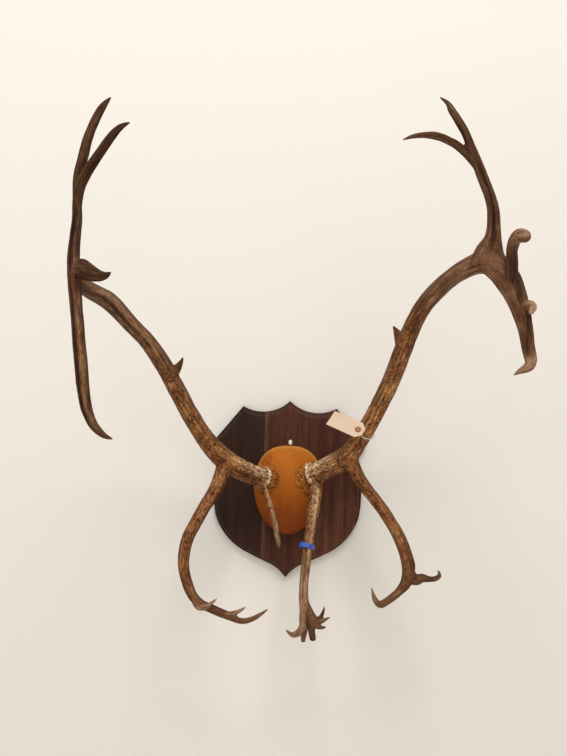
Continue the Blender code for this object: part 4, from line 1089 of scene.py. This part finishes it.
pegShape = {"place": (0.0025, 0.0995), "width": 0.008, "length": 0.011, "tall": 1.45, "steps": 40,
            "profile": [(0, 1), (0.22, 0.995), (0.42, 0.97), (0.6, 0.93), (0.76, 0.87), (0.89, 0.78),
                        (0.97, 0.66), (1, 0.52), (0.98, 0.3), (1, 0), (0, 0)]}


def makePeg(shape):
    profile = [(across * shape["width"] / 2, height * shape["length"]) for across, height in shape["profile"]]
    x, z = shape["place"]
    outward = Matrix.Translation((x, -shieldFront - 0.0003, z)) @ Matrix.Rotation(math.pi / 2, 4, "X")
    stretched = outward @ Matrix.Diagonal((1, shape["tall"], 1, 1))
    return turnPiece("whitePeg", "pegWhite", profile, shape["steps"], stretched)


whitePeg = makePeg(pegShape)


# What each piece is

pieces = [                       # with its slot, and the CAD nodes that it replaces
    (shieldPlaque, "walnut", "shield_plaque"),
    (leatherCap, "cap_leather", "leather_cap"),
    (leatherCrumbs, "cap_leather", ""),
    (leftAntler, "antler", "left_beam left_brow_tine left_bez_tine left_upper_fork left_long_tine "
     "left_inner_tine"),
    (rightAntler, "antler", "right_beam right_palm right_brow_tine right_bez_tine right_upper_fork"),
    (sealBand, "seal_blue", "seal_band"),
    (hangTag, "tag_card", "hang_tag"),
    (tagEyelet, "eyelet_brown", "tag_eyelet"),
    (tagString, "string_cotton", "tag_string"),
    (whitePeg, "peg_white", "white_peg"),
]
for item, slotName, nodes in pieces:
    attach(item, "root")
    if nodes:
        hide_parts(*nodes.split())


# Stage, light and camera

stageShape = {"wallBehind": 0.0015, "half": 3.2, "floorLevel": -0.8, "floorDepth": 5,
              "colour": (0.8, 0.765, 0.715), "shadow": (0.744, 0.71145, 0.66495)}
lampShape = {                    # place, aimed at, size, watts, colour
    "overheadLamp": ((0.3, -2.6, 3.4), (0, -0.2, 0.15), 1.8, 118, (1, 0.97, 0.93)),
    "leftLamp": ((-2.1, -1.8, 1), (0, -0.2, 0.2), 1.6, 14, (1, 0.97, 0.94)),
    "frontLamp": ((0.6, -3.4, 0.9), (0, -0.2, 0.2), 2, 14, (1, 0.98, 0.96)),
}
cameraShape = {"place": (-0.0158, -2.105, 0.2333), "roll": 1.7, "focalShare": 1000 / 756}


def makeStageFinish(shape, oneSided):
    material, net, place = newFinish("stagePaint")
    nodes = material.node_tree.nodes
    shader = nodes["Principled BSDF"]
    # large soft patches of painted shadow on the wall and floor
    patches = net.mix(net.clouds(place, (1.2, 1.2, 1.2), 2) * 0.25, shape["colour"], shape["shadow"])
    net.feed(shader.inputs["Base Color"], patches)
    net.feed(shader.inputs["Roughness"], 0.9)
    if oneSided:                 # clear from behind, so the back of the mount shows
        sides = {0: net.add("ShaderNodeNewGeometry", {}, 6), 1: Term(net, shader.outputs[0]),
            2: net.add("ShaderNodeBsdfTransparent")}
        net.feed(nodes["Material Output"].inputs[0], net.add("ShaderNodeMixShader", sides))
    return material


def makeStage(shape):
    half, low, behind, deep = [shape[key] for key in ("half", "floorLevel", "wallBehind", "floorDepth")]
    square = ((-half, 0), (half, 0), (half, 2 * half), (-half, 2 * half))
    stages = {"stageWall": [(x, behind, low + z) for x, z in square],
        "stageFloor": [(x, behind - deep + y * deep / half, low) for x, y in square]}
    for name, spots in stages.items():
        mesh = bpy.data.meshes.new(name)
        mesh.from_pydata(spots, [], [(0, 1, 2, 3)])
        newPiece(name, mesh, makeStageFinish(shape, name == "stageWall"))


def addLamps(lamps):
    for name, (place, target, size, watts, colour) in lamps.items():
        light = bpy.data.lights.new(name, "AREA")
        light.size = size
        light.energy = watts
        light.color = colour
        lamp = newPiece(name, light)
        lamp.location = place
        lamp.rotation_euler = (Vector(target) - Vector(place)).to_track_quat("-Z", "Y").to_euler()
    world = bpy.data.worlds.new("studio")
    world.use_nodes = True
    sky = world.node_tree.nodes["Background"].inputs
    sky[0].default_value = (1, 0.98, 0.95, 1)
    sky[1].default_value = 0.33
    bpy.context.scene.world = world


def addCamera(shape):
    data = bpy.data.cameras.new("viewCamera")
    data.sensor_width = 36
    data.lens = 36 * shape["focalShare"]
    camera = newPiece("viewCamera", data)
    upright = Matrix.Rotation(math.pi / 2, 4, "X") @ Matrix.Rotation(math.radians(shape["roll"]), 4, "Z")
    camera.matrix_world = Matrix.Translation(shape["place"]) @ upright
    bpy.context.scene.camera = camera


makeStage(stageShape)
addLamps(lampShape)
addCamera(cameraShape)
bpy.context.scene.view_settings.view_transform = "Standard"
print("stage, light and camera set")
